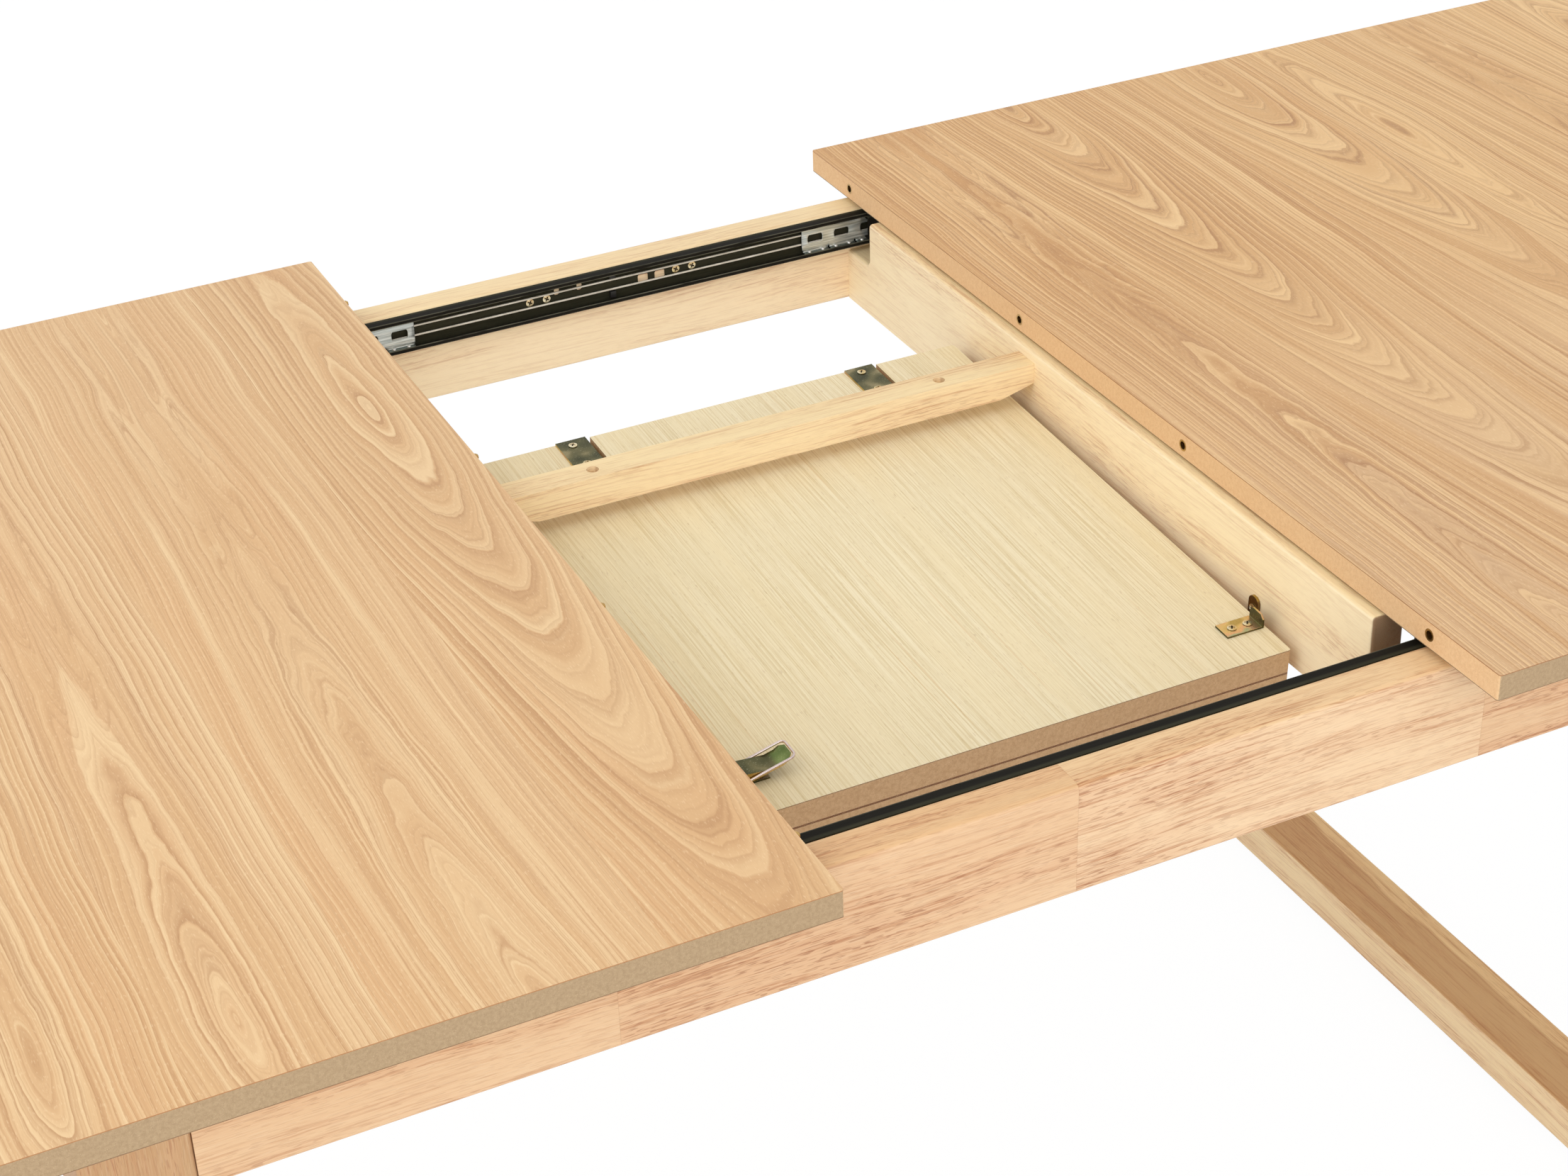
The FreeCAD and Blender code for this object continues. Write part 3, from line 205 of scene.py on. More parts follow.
def new_group(name, inputs, outputs):
    """An empty shader group, its input wires by name, and a function that connects an output.
    An input without a value is a vector."""
    tree = bpy.data.node_groups.new(name, "ShaderNodeTree")
    for label, value in inputs.items():
        kind = "NodeSocketVector" if value is None else "NodeSocketFloat"
        socket = tree.interface.new_socket(label, in_out="INPUT", socket_type=kind)
        if value is not None:
            socket.default_value = value
    for label in outputs:
        tree.interface.new_socket(label, in_out="OUTPUT", socket_type="NodeSocketFloat")
    entry, leave = tree.nodes.new("NodeGroupInput"), tree.nodes.new("NodeGroupOutput")
    wires = {label: Wire(tree, entry.outputs[label]) for label in inputs}
    return tree, wires, lambda label, value: plug(leave.inputs[label], value)


def use(group, inputs):
    """Place a group beside what feeds its Vector, and give back its outputs by name."""
    tree = inputs["Vector"].tree
    made = tree.nodes.new("ShaderNodeGroup")
    made.node_tree = group
    for label, value in inputs.items():
        plug(made.inputs[label], value)
    return {socket.name: Wire(tree, socket) for socket in made.outputs}


def material(name, **constants):
    """A material with one Principled shader, whose plain values are set on its own sockets.
    Gives the Object coordinates, and a function that plugs in what changes over the surface."""
    made = bpy.data.materials.new(name)
    made.use_nodes = True
    shader = made.node_tree.nodes["Principled BSDF"]
    for label, value in constants.items():
        shader.inputs[label.replace("_", " ")].default_value = value

    def finish(colour, **wires):
        for label, value in {"Base Color": colour, **wires}.items():
            plug(shader.inputs[label], value)
        return made

    return add(made.node_tree, "TexCoord", out=OBJECT), finish


def facing(where):
    """The direction in which the surface looks."""
    return add(where.tree, "TexCoord", out=NORMAL)


def faces(where, axis="Z"):
    """1 on faces that look along an axis, 0 on faces that run beside it."""
    return split(facing(where))["XYZ".index(axis)].math("ABSOLUTE").step(0.45, 0.75)


def relief(height, depth):
    """A height from 0 to 1, times a depth in metres, as the tilt that the light sees."""
    return add(height.tree, "Bump", {"Height": height, "Distance": depth, "Strength": 1.0})


print("materials of the packed model:", len(bpy.data.materials))

# %% [markdown]
# ## Ash veneer
#
# The tops wear sliced ash. A slice that passes near the heart of the log cuts its yearly rings at
# a shallow angle, which draws long ovals and arches; further out the same rings come up as
# straight lines. So the figure is worked out from the log itself: for each leaf of veneer, how
# far is this point from the heart? The fraction of that distance within one ring gives the dark
# early wood, which fades to pale late wood. Each leaf has its own heart, so its place is a table.
# A number that multiplies x, y or z in a noise is how many features it has in a metre.

# %% The figure of flat-sawn wood
ROUNDNESS, WIDENING = 2.1, 1.4


def flat_sawn_figure():
    """Across = x - heart, t = distance along y from the oval's middle. On either side
    depth = cap t / (t + cap / slope), so with a small cap the lines soon run straight.
    Distance = (across^2.1 + depth^2.1)^(1/2.1), bent by noise and by small knots, and bent less
    further out. Ring = crowding x distance^1.4, so rings are wide at the heart. Going out, a
    ring is tan, then pale, and ends with a thin brown line; each has its own strength. Where the
    heart lies open, with rings that run along the cut, straight lines take their place."""
    tree, given, leave = new_group(
        "Flat sawn figure",
        {"Vector": None, "Heart": 0.0, "Oval": 0.0, "Salt": 0.0, "Slope": 0.2, "Cap Behind": 0.1,
         "Cap Before": 0.1, "Crowding": 480.0, "Raggedness": 1.0},
        ["Early Wood", "Late Wood", "Pores", "Flecks", "Clouds", "Streaks", "Fine Rings",
         "Heart Line", "Bands"])
    x, y, z = split(given["Vector"])
    salt = given["Salt"] * 3.1
    sway = (field((salt, y * 2.6)) - 0.5) * 0.030
    along = y - given["Oval"] + (field((x * 9, y * 3 + salt), 1) - 0.5) * 0.06
    behind = along.math("GREATER_THAN", 0.0)
    cap = given["Cap Before"] + (given["Cap Behind"] - given["Cap Before"]) * behind
    far = along.math("ABSOLUTE")
    depth = far * cap / (far + cap / given["Slope"])
    across = (x - given["Heart"] + sway).math("ABSOLUTE")
    straight_off = (across ** ROUNDNESS + depth ** ROUNDNESS) ** (1 / ROUNDNESS)
    open_heart = (depth / cap).step(0.50, 0.75) * (across / straight_off).step(0.60, 0.25)
    calm = straight_off.step(0.012, 0.060) * -0.65 + 1.0
    warp = (field((x * 22 + salt, y * 5.0)) - 0.5) * 0.013
    shiver = (field((x * 80, y * 26 + salt)) - 0.5) * 0.0036
    knot = add(tree, "TexVoronoi", {"Vector": place(x * 9 + salt, y * 2.6), "Scale": 1.0})
    kink = (knot * -6.5 + 1.0).math("MAXIMUM", 0.0) ** 2 * 0.005
    away = straight_off + (warp + shiver * given["Raggedness"] + kink) * calm
    away = away.math("MAXIMUM", 0.0001)
    swell = (field((away * 80 + salt, 0.5), 1) - 0.5) * 2.2
    rings = away ** WIDENING * given["Crowding"] + swell
    part, number = rings.math("FRACT"), rings.math("FLOOR")
    luck, fate = chance(number, given["Salt"]), chance(number, given["Salt"] + 40.5)
    faint = (depth.step(0.040, 0.062) * -0.55 + 1.0) * (open_heart * -0.85 + 1.0)
    early = (part * -1 + 1) ** 5 * part.step(0.0, 0.03) * faint
    leave("Early Wood", early * (luck * 0.8 + 0.3))
    leave("Late Wood", part.step(0.45, 0.90) * (part.step(0.96, 1.0) * -1 + 1)
          * (fate * 1.1 + 0.1).math("MINIMUM", 1.0) * faint)
    thread = field((x * 90, y * 9)).step(0.4, 0.6)
    leave("Heart Line", across.step(0.016, 0.003) * thread)
    small = (rings + across * open_heart * 300) * 4.1 + swell
    thin = small.math("FRACT")
    hit = chance(small.math("FLOOR"), given["Salt"] + 11.3)
    leave("Fine Rings", (thin * -1 + 1) ** 2 * thin.step(0.0, 0.15) * hit)
    fine = field((x * 1500, y * 95, z * 1500), 1)
    leave("Pores", fine.step(0.57, 0.70) * (early * 0.8 + 0.25))
    leave("Flecks", field((x * 1300 + 7, y * 210, z * 1300), 1).step(0.60, 0.72))
    leave("Clouds", field((x * 14 + salt, y * 1.7), 3))
    spread = away + across * open_heart
    leave("Streaks", field((spread * 430 + salt, y * 2.2), 3, 0.7))
    leave("Bands", field((spread * 110 + salt, y * 1.8)))
    return tree


flat_sawn = flat_sawn_figure()
print("group:", flat_sawn.name, len(flat_sawn.nodes), "nodes")

# %% A table of veneer leaves
# Each leaf: its left joint, heart line and the middle of its oval in metres, the slope of its
# arches, how far they go on behind and before the middle, how crowded its rings are, its tone,
# and how strongly it shows.
LEAVES_LEFT = [
    (-1.10, -0.960, 0.160, 0.20, 0.050, 0.100, 480, 0.50, 0.8),
    (-0.880, -0.800, -0.220, 0.20, 0.080, 0.030, 500, 0.30, 0.8),
    (-0.705, -0.631, -0.380, 0.17, 0.020, 0.060, 620, 0.55, 0.8),
    (-0.572, -0.534, -0.405, 0.19, 0.038, 0.060, 520, 0.25, 0.85),
    (-0.469, -0.396, -0.500, 0.13, 0.046, 0.020, 760, 0.45, 0.45),
    (-0.318, -0.256, 0.205, 0.19, 0.028, 0.130, 470, 0.62, 1.0)]
LEAVES_RIGHT = [
    (0.200, 0.294, -0.520, 0.13, 0.055, 0.020, 820, 0.95, 0.85),
    (0.322, 0.400, 0.470, 0.19, 0.050, 0.140, 640, 0.60, 1.0),
    (0.512, 0.585, 0.420, 0.24, 0.030, 0.110, 560, 0.50, 0.65),
    (0.622, 0.656, 0.250, 0.20, 0.040, 0.030, 700, 0.35, 0.8),
    (0.715, 0.790, -0.180, 0.19, 0.060, 0.080, 520, 0.45, 0.6),
    (0.850, 0.935, 0.200, 0.18, 0.090, 0.050, 480, 0.30, 0.7)]


def look_up(x, leaves, column):
    """The first leaf's value, changed at each joint that x has passed."""
    value = x * 0.0 + leaves[0][column]
    for before, leaf in zip(leaves, leaves[1:]):
        value = x.math("GREATER_THAN", leaf[0]) * (leaf[column] - before[column]) + value
    return value


print("leaves of veneer:", len(LEAVES_LEFT), "and", len(LEAVES_RIGHT))

# %% Ash veneer for the tops
PORE_BROWN, FLECK_PALE, FRONT_PALE = (158, 112, 70), (252, 222, 178), (224, 192, 154)
CUT_EDGE = 0.85


def ash_veneer(name, leaves, light, mid, ring, pale, warm, edge, ragged=1.1, front=0.0):
    """Light to mid ground with warm clouds, pale and dark streaks over it, then the rings, and
    last the pores. The veneer's cut edge has its own colour; on the leaf it is much darker, as a
    painted shadow in the gap between the boards."""
    where, finish = material(name, Roughness=0.45, Specular_IOR_Level=0.32)
    x, y, z = split(where)
    heart, oval, slope, behind, before, crowding, tone, show = (
        look_up(x, leaves, column) for column in range(1, 9))
    figure = use(flat_sawn, {
        "Vector": where, "Heart": heart, "Oval": oval, "Salt": heart * 9, "Slope": slope,
        "Cap Behind": behind, "Cap Before": before, "Crowding": crowding, "Raggedness": ragged})
    clouds, bands, streaks = figure["Clouds"], figure["Bands"], figure["Streaks"]
    wood = layers(blend((tone * 0.8 + clouds - 0.4).step(0.1, 0.9), light, mid), [
        (clouds.step(0.48, 0.70) * 0.45, warm),
        (figure["Heart Line"] * tone.step(0.75, 0.95) * 0.30, ring),
        (y.step(0.20, -0.35) * front, FRONT_PALE),
        (bands.step(0.50, 0.66) * 0.55, mid), ((bands * -1 + 1).step(0.51, 0.67) * 0.50, pale),
        (streaks.step(0.50, 0.72) * 0.60, ring),
        ((streaks * -1 + 1).step(0.52, 0.72) * 0.62, pale),
        (figure["Late Wood"] * show * 0.64, pale), (figure["Fine Rings"] * 0.52, ring),
        (figure["Early Wood"] * show * 0.90, ring), (figure["Pores"] * 0.28, PORE_BROWN),
        (figure["Flecks"] * 0.30, FLECK_PALE), (faces(where) * -CUT_EDGE + CUT_EDGE, edge)])
    return finish(wood, Normal=relief(figure["Pores"] * -1, 0.00003))


veneers = {
    "left": ash_veneer("ash_veneer_left", LEAVES_LEFT, light=(227, 188, 141), mid=(218, 175, 125),
                       ring=(184, 136, 92), pale=(244, 213, 165), warm=(225, 179, 131),
                       edge=(178, 118, 70), ragged=1.0),
    "right": ash_veneer("ash_veneer_right", LEAVES_RIGHT, light=(236, 194, 136),
                        mid=(209, 159, 103), ring=(166, 114, 68), pale=(246, 208, 153),
                        warm=(222, 170, 111), edge=(160, 104, 62), front=0.55),
    # The leaf's dark edge colour is a painted shadow in the gap between its boards.
    "leaf": ash_veneer("ash_veneer_leaf", LEAVES_RIGHT, light=(229, 191, 142), mid=(210, 164, 116),
                       ring=(172, 124, 82), pale=(242, 207, 160), warm=(220, 172, 122),
                       edge=(96, 54, 32))}
print("ash veneers:", ", ".join(veneers))

# %% [markdown]
# ## Backing veneer
#
# The backs of the boards carry a pale, cheaper veneer, laid up from thin straight layers. Its
# lines are fine and nearly parallel, with a slow drift, so stretched noise at several widths is
# closer to it than rings are.

# %% Straight layered figure
def straight_figure():
    """Noise stretched along the grain at three widths: broad bands, lines of about 1.5 mm, and
    fibres of under 1 mm, all shifted sideways by one slow wander."""
    tree, given, leave = new_group("Straight figure", {"Vector": None},
                                   ["Bands", "Lines", "Fibre", "Streaks", "Flecks"])
    x, y, z = split(given["Vector"])
    drift = (field((x * 3, y * 2.0), 1) - 0.5) * 0.012
    across = x + drift
    leave("Bands", field((across * 30, y * 1.3)))
    leave("Lines", field((across * 900, y * 5.0), 3, 0.7))
    leave("Fibre", field((across * 1900, y * 60)))
    leave("Streaks", field((across * 700 + 3, y * 3.2), 1).step(0.66, 0.76))
    leave("Flecks", field((across * 1900, y * 150, z * 900), 0).step(0.72, 0.80))
    return tree


straight = straight_figure()
print("group:", straight.name, len(straight.nodes), "nodes")

# %% Backing veneer for the undersides
def backing_veneer():
    """Cream lines, a little yellower and darker towards the left, partly the veneer's own tone and
    partly painted shade from the left top, with fibres, brown streaks and flecks.
    """
    where, finish = material("backing_veneer", Roughness=0.6, Specular_IOR_Level=0.35)
    figure = use(straight, {"Vector": where})
    x, y, z = split(where)
    wood = layers(blend(figure["Lines"].step(0.32, 0.62), (220, 200, 155), (243, 229, 194)), [
        # Partly painted shade: the left side is darker and yellower.
        (x.step(0.05, -0.22) * 0.22, (212, 192, 142)),
        (figure["Bands"].step(0.45, 0.70) * 0.5, (240, 222, 180)),
        (figure["Fibre"].step(0.50, 0.72) * 0.28, (205, 182, 136)),
        (figure["Streaks"] * 0.45, (214, 176, 122)), (figure["Flecks"] * 0.30, (176, 140, 96)),
        (faces(where) * -CUT_EDGE + CUT_EDGE, (122, 82, 50))])
    return finish(wood, Normal=relief(figure["Lines"] + figure["Fibre"] * 0.5, 0.00006))


backing = backing_veneer()
print("made", backing.name)

# %% [markdown]
# ## Rubberwood
#
# Frame rails and legs are glued up from blocks of rubberwood, joined end to end. Each block has
# its own tone, and the pores show as short reddish dashes along the grain, crowded in some zones
# and sparse in others. Sawn ends are darker, partly because they soak up the finish and partly as
# painted shade, and the rails at the floor keep a streak of brown heartwood. Faces that look up or
# down get painted shade too. The group expects the grain along X; a Mapping node turns it for
# pieces that run another way.

# %% Wood in blocks, glued end to end
def jointed_figure():
    """Block number = floor(along / length). Tone is random per block. Zones are noise stretched
    15 to 1 along the grain, lines 50 to 1 and dashes 13 to 1, all bent by one slow wander."""
    tree, given, leave = new_group(
        "Jointed timber", {"Vector": None, "Facing": None, "Block Length": 0.29, "Start": 0.04},
        ["Tone", "Zones", "Dashes", "Lines", "Seam", "Fibre", "End"])
    x, y, z = split(given["Vector"])
    along = (x + given["Start"]) / given["Block Length"]
    block, part = along.math("FLOOR"), along.math("FRACT")
    shift = chance(block, 2.3) * 5
    bend = (field((x * 5 + shift, y * 16, z * 16), 1) - 0.5) * 0.014
    side, rise = y + bend + shift, z + bend
    cloud = field((x * 4 + shift, y * 14, z * 14))
    leave("Tone", chance(block, 5.9) * 0.5 + cloud * 0.7)
    leave("Zones", field((x * 3.2 + shift, side * 48, rise * 48), 3, 0.6))
    dashes = field((x * 110 + shift, side * 1400, rise * 1400), 0)
    leave("Dashes", dashes.step(0.60, 0.68))
    leave("Lines", field((x * 11 + shift, side * 560, rise * 560), 3, 0.7))
    leave("Seam", (part - 0.5).math("ABSOLUTE").step(0.4985, 0.4998))
    leave("Fibre", field((x * 40, y * 1900, z * 1900)))
    leave("End", split(given["Facing"])[0].math("ABSOLUTE").step(0.55, 0.85))
    return tree


jointed = jointed_figure()
print("group:", jointed.name, len(jointed.nodes), "nodes")

# %% Rubberwood with heartwood and sawn ends
# Painted shade: faces that look up or down are multiplied darker and yellower, as they catch less
# light than the sides.
TOP_FACE_SHADE = (0.925, 0.885, 0.78, 1.0)  # linear light: top faces are a little yellower


def heartwood(where, edge):
    """A brown streak along Y, from the inner arris to a wavering edge at this distance out."""
    x, y, z = split(where)
    waver = (field((x * 12, y * 3.4), 3, 0.6) - 0.5) * 0.050
    out = x.math("ABSOLUTE") + waver
    rim = (out - edge).math("ABSOLUTE").step(0.0022, 0.0004) * 0.5
    return out.step(edge + 0.0005, edge - 0.0015) * 0.9 + rim


def rubberwood(name, turn, pale, deep, dash, start=0.04, zone=0.45, block=0.29, end=0.40,
               upper=TOP_FACE_SHADE, heart_edge=None):
    """Rubberwood whose grain runs along X after the given turn. Dash, zone and end say how
    strongly these show; start and block place the glued joints, in metres. End darkens the sawn
    ends, partly as end grain and partly as painted shade; upper is painted shade multiplied on
    faces that look up or down."""
    where, finish = material(name, Roughness=0.5, Specular_IOR_Level=0.24)
    turned, looks = (add(where.tree, "Mapping", {"Vector": vector, "Rotation": turn})
                     for vector in (where, facing(where)))
    figure = use(jointed, {"Vector": turned, "Facing": looks, "Start": start,
                           "Block Length": block})
    crowd = figure["Zones"].step(0.38, 0.66)
    lines = figure["Lines"].step(0.48, 0.66) * (crowd + 0.5) * (zone + 0.2)
    wood = layers(blend(figure["Tone"].step(0.25, 0.95), pale, deep), [
        (crowd * zone, (222, 170, 130)), (lines, (198, 142, 102)),
        (figure["Fibre"].step(0.45, 0.75) * 0.20, (255, 236, 204)),
        (figure["Dashes"] * (crowd * 0.8 + 0.20) * dash, (156, 96, 64)),
        (figure["Seam"] * 0.18, (180, 128, 88))])
    # Painted shade on faces that look up or down.
    wood = blend(faces(where), wood, upper, "MULTIPLY")
    if heart_edge:
        wood = blend(heartwood(where, heart_edge) * faces(where) * 0.56, wood, (176, 124, 78))
    # End grain together with painted shade: faces that look along the grain are darkened.
    wood = blend(figure["End"] * end, wood, (124, 86, 56))
    return finish(wood, Normal=relief(figure["Dashes"] * -1 + figure["Fibre"] * 0.3, 0.00005))


ALONG_X, ALONG_Y, ALONG_Z = (0, 0, 0), (0, 0, radians(-90)), (0, radians(90), 0)
timber = {
    "x": rubberwood("rubberwood_long", ALONG_X, (246, 214, 174), (234, 194, 152), dash=0.52),
    "y": rubberwood("rubberwood_cross", ALONG_Y, (255, 237, 199), (253, 230, 189), dash=0.20,
                    start=0.45, zone=0.12, block=0.90, end=0.85),
    # The legs' colours are painted darker, as painted shade from the top that hangs over them.
    "z": rubberwood("rubberwood_leg_shaded", ALONG_Z, (210, 170, 127), (195, 154, 111), dash=0.50,
                    start=0.02, zone=0.30),
    # The floor rails get a stronger painted shade on faces that look up or down.
    "floor": rubberwood("rubberwood_floor", ALONG_Y, (255, 230, 188), (246, 214, 168), dash=0.22,
                        start=0.40, zone=0.34, block=0.92, upper=(0.83, 0.74, 0.62, 1.0),
                        heart_edge=0.611),
    "back": rubberwood("rubberwood_back", ALONG_X, (255, 234, 196), (250, 219, 178), dash=0.16,
                       start=0.28, zone=0.15, block=0.62),
    "keeper": rubberwood("rubberwood_keeper", ALONG_X, (254, 233, 191), (251, 224, 179),
                         dash=0.26, start=0.40, zone=0.24, block=0.80)}
print("rubberwood in", len(timber), "finishes")

# %% [markdown]
# ## Fibreboard
#
# The cores are pressed wood dust, with fine specks of lighter and darker fibre. On the tops, the
# edges that meet the leaf, which look along the table, are painted lighter and warmer, and the
# front and back edges darker and greyer: painted light and shade, as from a lamp at the left. So
# one material holds both colours and chooses by the way a face looks.

# %% Fibreboard edge
def fibreboard(name, pale, deep, lit_edge_pale, lit_edge_deep):
    """Pressed fibre. Edges that face along the table get lighter, warmer colours and the others
    darker ones: painted light and shade.
    """
    where, finish = material(name, Roughness=0.8, Specular_IOR_Level=0.3)
    speck, felt, inner = noise(where, 1700, 1), noise(where, 420, 4, 0.7), faces(where, "X")
    # Painted light and shade: lighter colours on faces that look along X, darker ones elsewhere.
    darker, lighter = blend(inner, deep, lit_edge_deep), blend(inner, pale, lit_edge_pale)
    wood = layers(blend(felt.step(0.30, 0.70), darker, lighter), [
        (speck.step(0.62, 0.76) * 0.45, (238, 210, 172)),
        ((speck * -1 + 1).step(0.64, 0.78) * 0.45, (132, 92, 60))])
    return finish(wood, Normal=relief(speck + felt, 0.00008))


# The top cores' lighter pair is painted light on the edges that look along the table.
cores = {"top": fibreboard("fibreboard_top", (190, 163, 128), (174, 147, 113), (235, 197, 151),
                           (226, 185, 139)),
         "leaf": fibreboard("fibreboard_leaf", (208, 174, 134), (192, 156, 116), (208, 174, 134),
                            (192, 156, 116))}
print("cores:", ", ".join(cores))

# %% [markdown]
# ## Metals and plastic
#
# Most fittings are plated. Yellow zinc is a thin film on steel, and its colour changes with the
# film's thickness, from olive through gold to pink; a slow noise picks the place in that range.
# Bright zinc shows soft rolling marks. The slide channels are black, with a low gloss.

# %% Marks and ramps of colour
def rolled_marks(where, along=45, across=900):
    """Fine lines left by rolling or drawing, stretched along the metal."""
    x, y, z = split(where)
    return field((x * along, y * across, z * across), 3, 0.6)


def ramp(value, stops):
    """A colour that runs through the given (place, colour) stops."""
    made = value.tree.nodes.new("ShaderNodeValToRGB")
    for _ in stops[2:]:
        made.color_ramp.elements.new(0.5)
    for element, (spot, colour) in zip(made.color_ramp.elements, stops):
        element.position, element.color = spot, paint(*colour)
    plug(made.inputs[0], value)
    return Wire(value.tree, made.outputs[0])


# %% Yellow zinc
GOLD = ((0.36, (190, 172, 112)), (0.46, (226, 204, 146)), (0.56, (232, 190, 156)),
        (0.64, (176, 196, 168)))
OLIVE = ((0.34, (66, 66, 44)), (0.48, (88, 86, 58)), (0.60, (108, 102, 70)),
         (0.70, (146, 134, 98)))
GREEN = ((0.38, (84, 104, 54)), (0.62, (126, 144, 84)))
BROWN = ((0.34, (112, 88, 56)), (0.50, (150, 124, 80)), (0.66, (190, 166, 112)))
YELLOW = ((0.36, (178, 150, 84)), (0.55, (214, 188, 118)), (0.66, (204, 166, 124)))


def yellow_zinc(name, flats, sides, rough):
    """Film colours on flat faces and on standing sides, in soft clouds, with green where a face
    leans back, and fine pale scratches."""
    where, finish = material(name, Metallic=1.0)
    film = noise(where, 64, 1.0, 0.4)
    x, y, z = split(where)
    scratch = field((x * 240 + y * 500, y * 1900 - x * 1100, z * 900), 1)
    lean = split(facing(where))[0].step(-0.12, -0.34) * faces(where)
    colour = layers(blend(faces(where), ramp(film, sides), ramp(film, flats)), [
        (lean * 0.75, ramp(film, GREEN)), (scratch.step(0.64, 0.74) * 0.26, (224, 216, 184))])
    return finish(colour, Roughness=scratch * 0.16 + rough)


metals = {"gold": yellow_zinc("zinc_gold", GOLD, OLIVE, 0.22),
          "olive": yellow_zinc("zinc_olive", OLIVE, YELLOW, 0.20),
          "brown": yellow_zinc("zinc_brown", YELLOW, BROWN, 0.24)}
print("yellow zinc:", ", ".join(metals))

# %% Screws and drawn metals
def screw_metal():
    """Bright steel with a warm film, with painted shade in the recess and under the rim."""
    where, finish = material("screw_steel", Metallic=0.85, Roughness=0.24)
    # The recess attribute carries painted shade, in the cross and under the rim.
    deep = add(where.tree, "Attribute", out=2, attribute_name="recess")
    colour = ramp(noise(where, 160), ((0.36, (232, 222, 192)), (0.62, (212, 190, 138))))
    return finish(blend(deep.step(0.15, 0.75), colour, (64, 52, 34)))


def drawn_metal(name, pale, deep, low, high, marked=(45, 900), metallic=1.0):
    """A metal whose colour, and gloss from low to high roughness, change along fine marks."""
    where, finish = material(name, Metallic=metallic)
    marks = rolled_marks(where, *marked)
    mottle = marks * 0.6 + noise(where, 60, 3.0) * 0.4
    return finish(blend(mottle.step(0.35, 0.65), deep, pale), Roughness=marks * (high - low) + low)


metals["screw"] = screw_metal()
metals["zinc"] = drawn_metal("bright_zinc", (206, 212, 208), (150, 158, 154), 0.26, 0.50, (30, 700))
metals["bright"] = drawn_metal("bright_steel", (222, 206, 200), (200, 182, 176), 0.16, 0.24,
                               (15, 160))
metals["cable"] = drawn_metal("cable_steel", (244, 238, 224), (206, 198, 182), 0.40, 0.60,
                              metallic=0.2)
metals["ball"] = drawn_metal("ball_steel", (240, 238, 234), (214, 212, 208), 0.10, 0.20,
                             metallic=0.5)
metals["brass"] = drawn_metal("brass", (206, 170, 108), (158, 122, 70), 0.22, 0.42)
print("metals:", ", ".join(metals))

# %% Slide finishes
SLIDE_HEIGHT, RAIL_FACE = 692.5, 373.0  # mm: middle of the slides, and inner face of the rails
LIP_INSIDE, LIP_OUTSIDE = 0.0103, 0.0134
WEB_FROM, WEB_TO = 0.3674, 0.3684


def channel_paint():
    """Black, more olive on the web, with a painted highlight along the edges of both lips."""
    where, finish = material("black_channel", Roughness=0.55, Specular_IOR_Level=0.05)
    x, y, z = split(where)
    depth = y.math("ABSOLUTE") * -1 + RAIL_FACE * MM
    height = (z - SLIDE_HEIGHT * MM).math("ABSOLUTE")
    marks = rolled_marks(where)
    black = blend(marks, (20, 19, 15), (36, 33, 27))
    olive = blend(marks, (36, 36, 26), (62, 60, 46))
    inner_edge = (height - LIP_INSIDE).math("ABSOLUTE").step(0.0008, 0.0003)
    outer_edge = (height - LIP_OUTSIDE).math("ABSOLUTE").step(0.0006, 0.0002)
    # Painted highlight: thin light lines along the edges of both lips.
    lip_highlight = depth.step(0.0083, 0.0088) * (inner_edge + outer_edge * 0.6) * marks.step(0.30, 0.60)
    return finish(layers(black, [(depth.step(0.0040, 0.0016), olive),
                                 (lip_highlight * 0.60, (132, 130, 112))]))


def cage_zinc():
    """Bright zinc with long rolling marks; the folded ledges, which look down the slide, are
    greyer and darker than the web, as painted shade where they lie recessed under the lips."""
    where, finish = material("cage_zinc", Metallic=0.7)
    x, y, z = split(where)
    marks = rolled_marks(where, 30, 700)
    web = blend(marks.step(0.35, 0.65), (168, 174, 168), (222, 226, 220))
    # Painted shade: the ledges get a darker grey than the web.
    ledge = blend(marks.step(0.35, 0.65), (92, 98, 92), (128, 134, 126))
    on_web = y.math("ABSOLUTE").step(WEB_FROM, WEB_TO)
    return finish(blend(on_web, ledge, web), Roughness=marks * 0.24 + 0.24)


def black_moulding():
    """Moulded plastic with a fine matt grain."""
    where, finish = material("black_moulding", Roughness=0.5)
    grain = noise(where, 1400)
    return finish(blend(grain, (18, 18, 17), (34, 33, 31)), Normal=relief(grain, 0.00003))


metals |= {"cage": cage_zinc(), "channel": channel_paint(), "moulding": black_moulding()}
print("finishes of metal and plastic:", len(metals))

# %% [markdown]
# ## Dressing a CAD piece
#
# A CAD piece arrives as loose triangles. Welding their corners lets the surface be smooth where
# it is round, and real boards and plates have no knife edges, so a small bevel catches the light
# along each of them. The welded copy stands for the node and rides on the same body.

# %% Weld loose triangles
WELD = 1e-6


def weld(points, cells):
    """Points that lie together become one, and triangles that vanish are left out."""
    _, first, same = np.unique(np.round(points / WELD), axis=0, return_index=True,
                               return_inverse=True)
    cells = same.ravel()[cells]
    whole = ((cells[:, 0] != cells[:, 1]) & (cells[:, 1] != cells[:, 2])
             & (cells[:, 2] != cells[:, 0]))
    return points[first], cells[whole]


def triangles(node):
    """Welded corner points and triangles of a CAD node."""
    mesh = frame["nodes"][node].data
    points = np.empty(len(mesh.vertices) * 3)
    mesh.vertices.foreach_get("co", points)
    corners = np.empty(len(mesh.loops), dtype=int)
    mesh.loops.foreach_get("vertex_index", corners)
    return weld(points.reshape(-1, 3), corners.reshape(-1, 3))


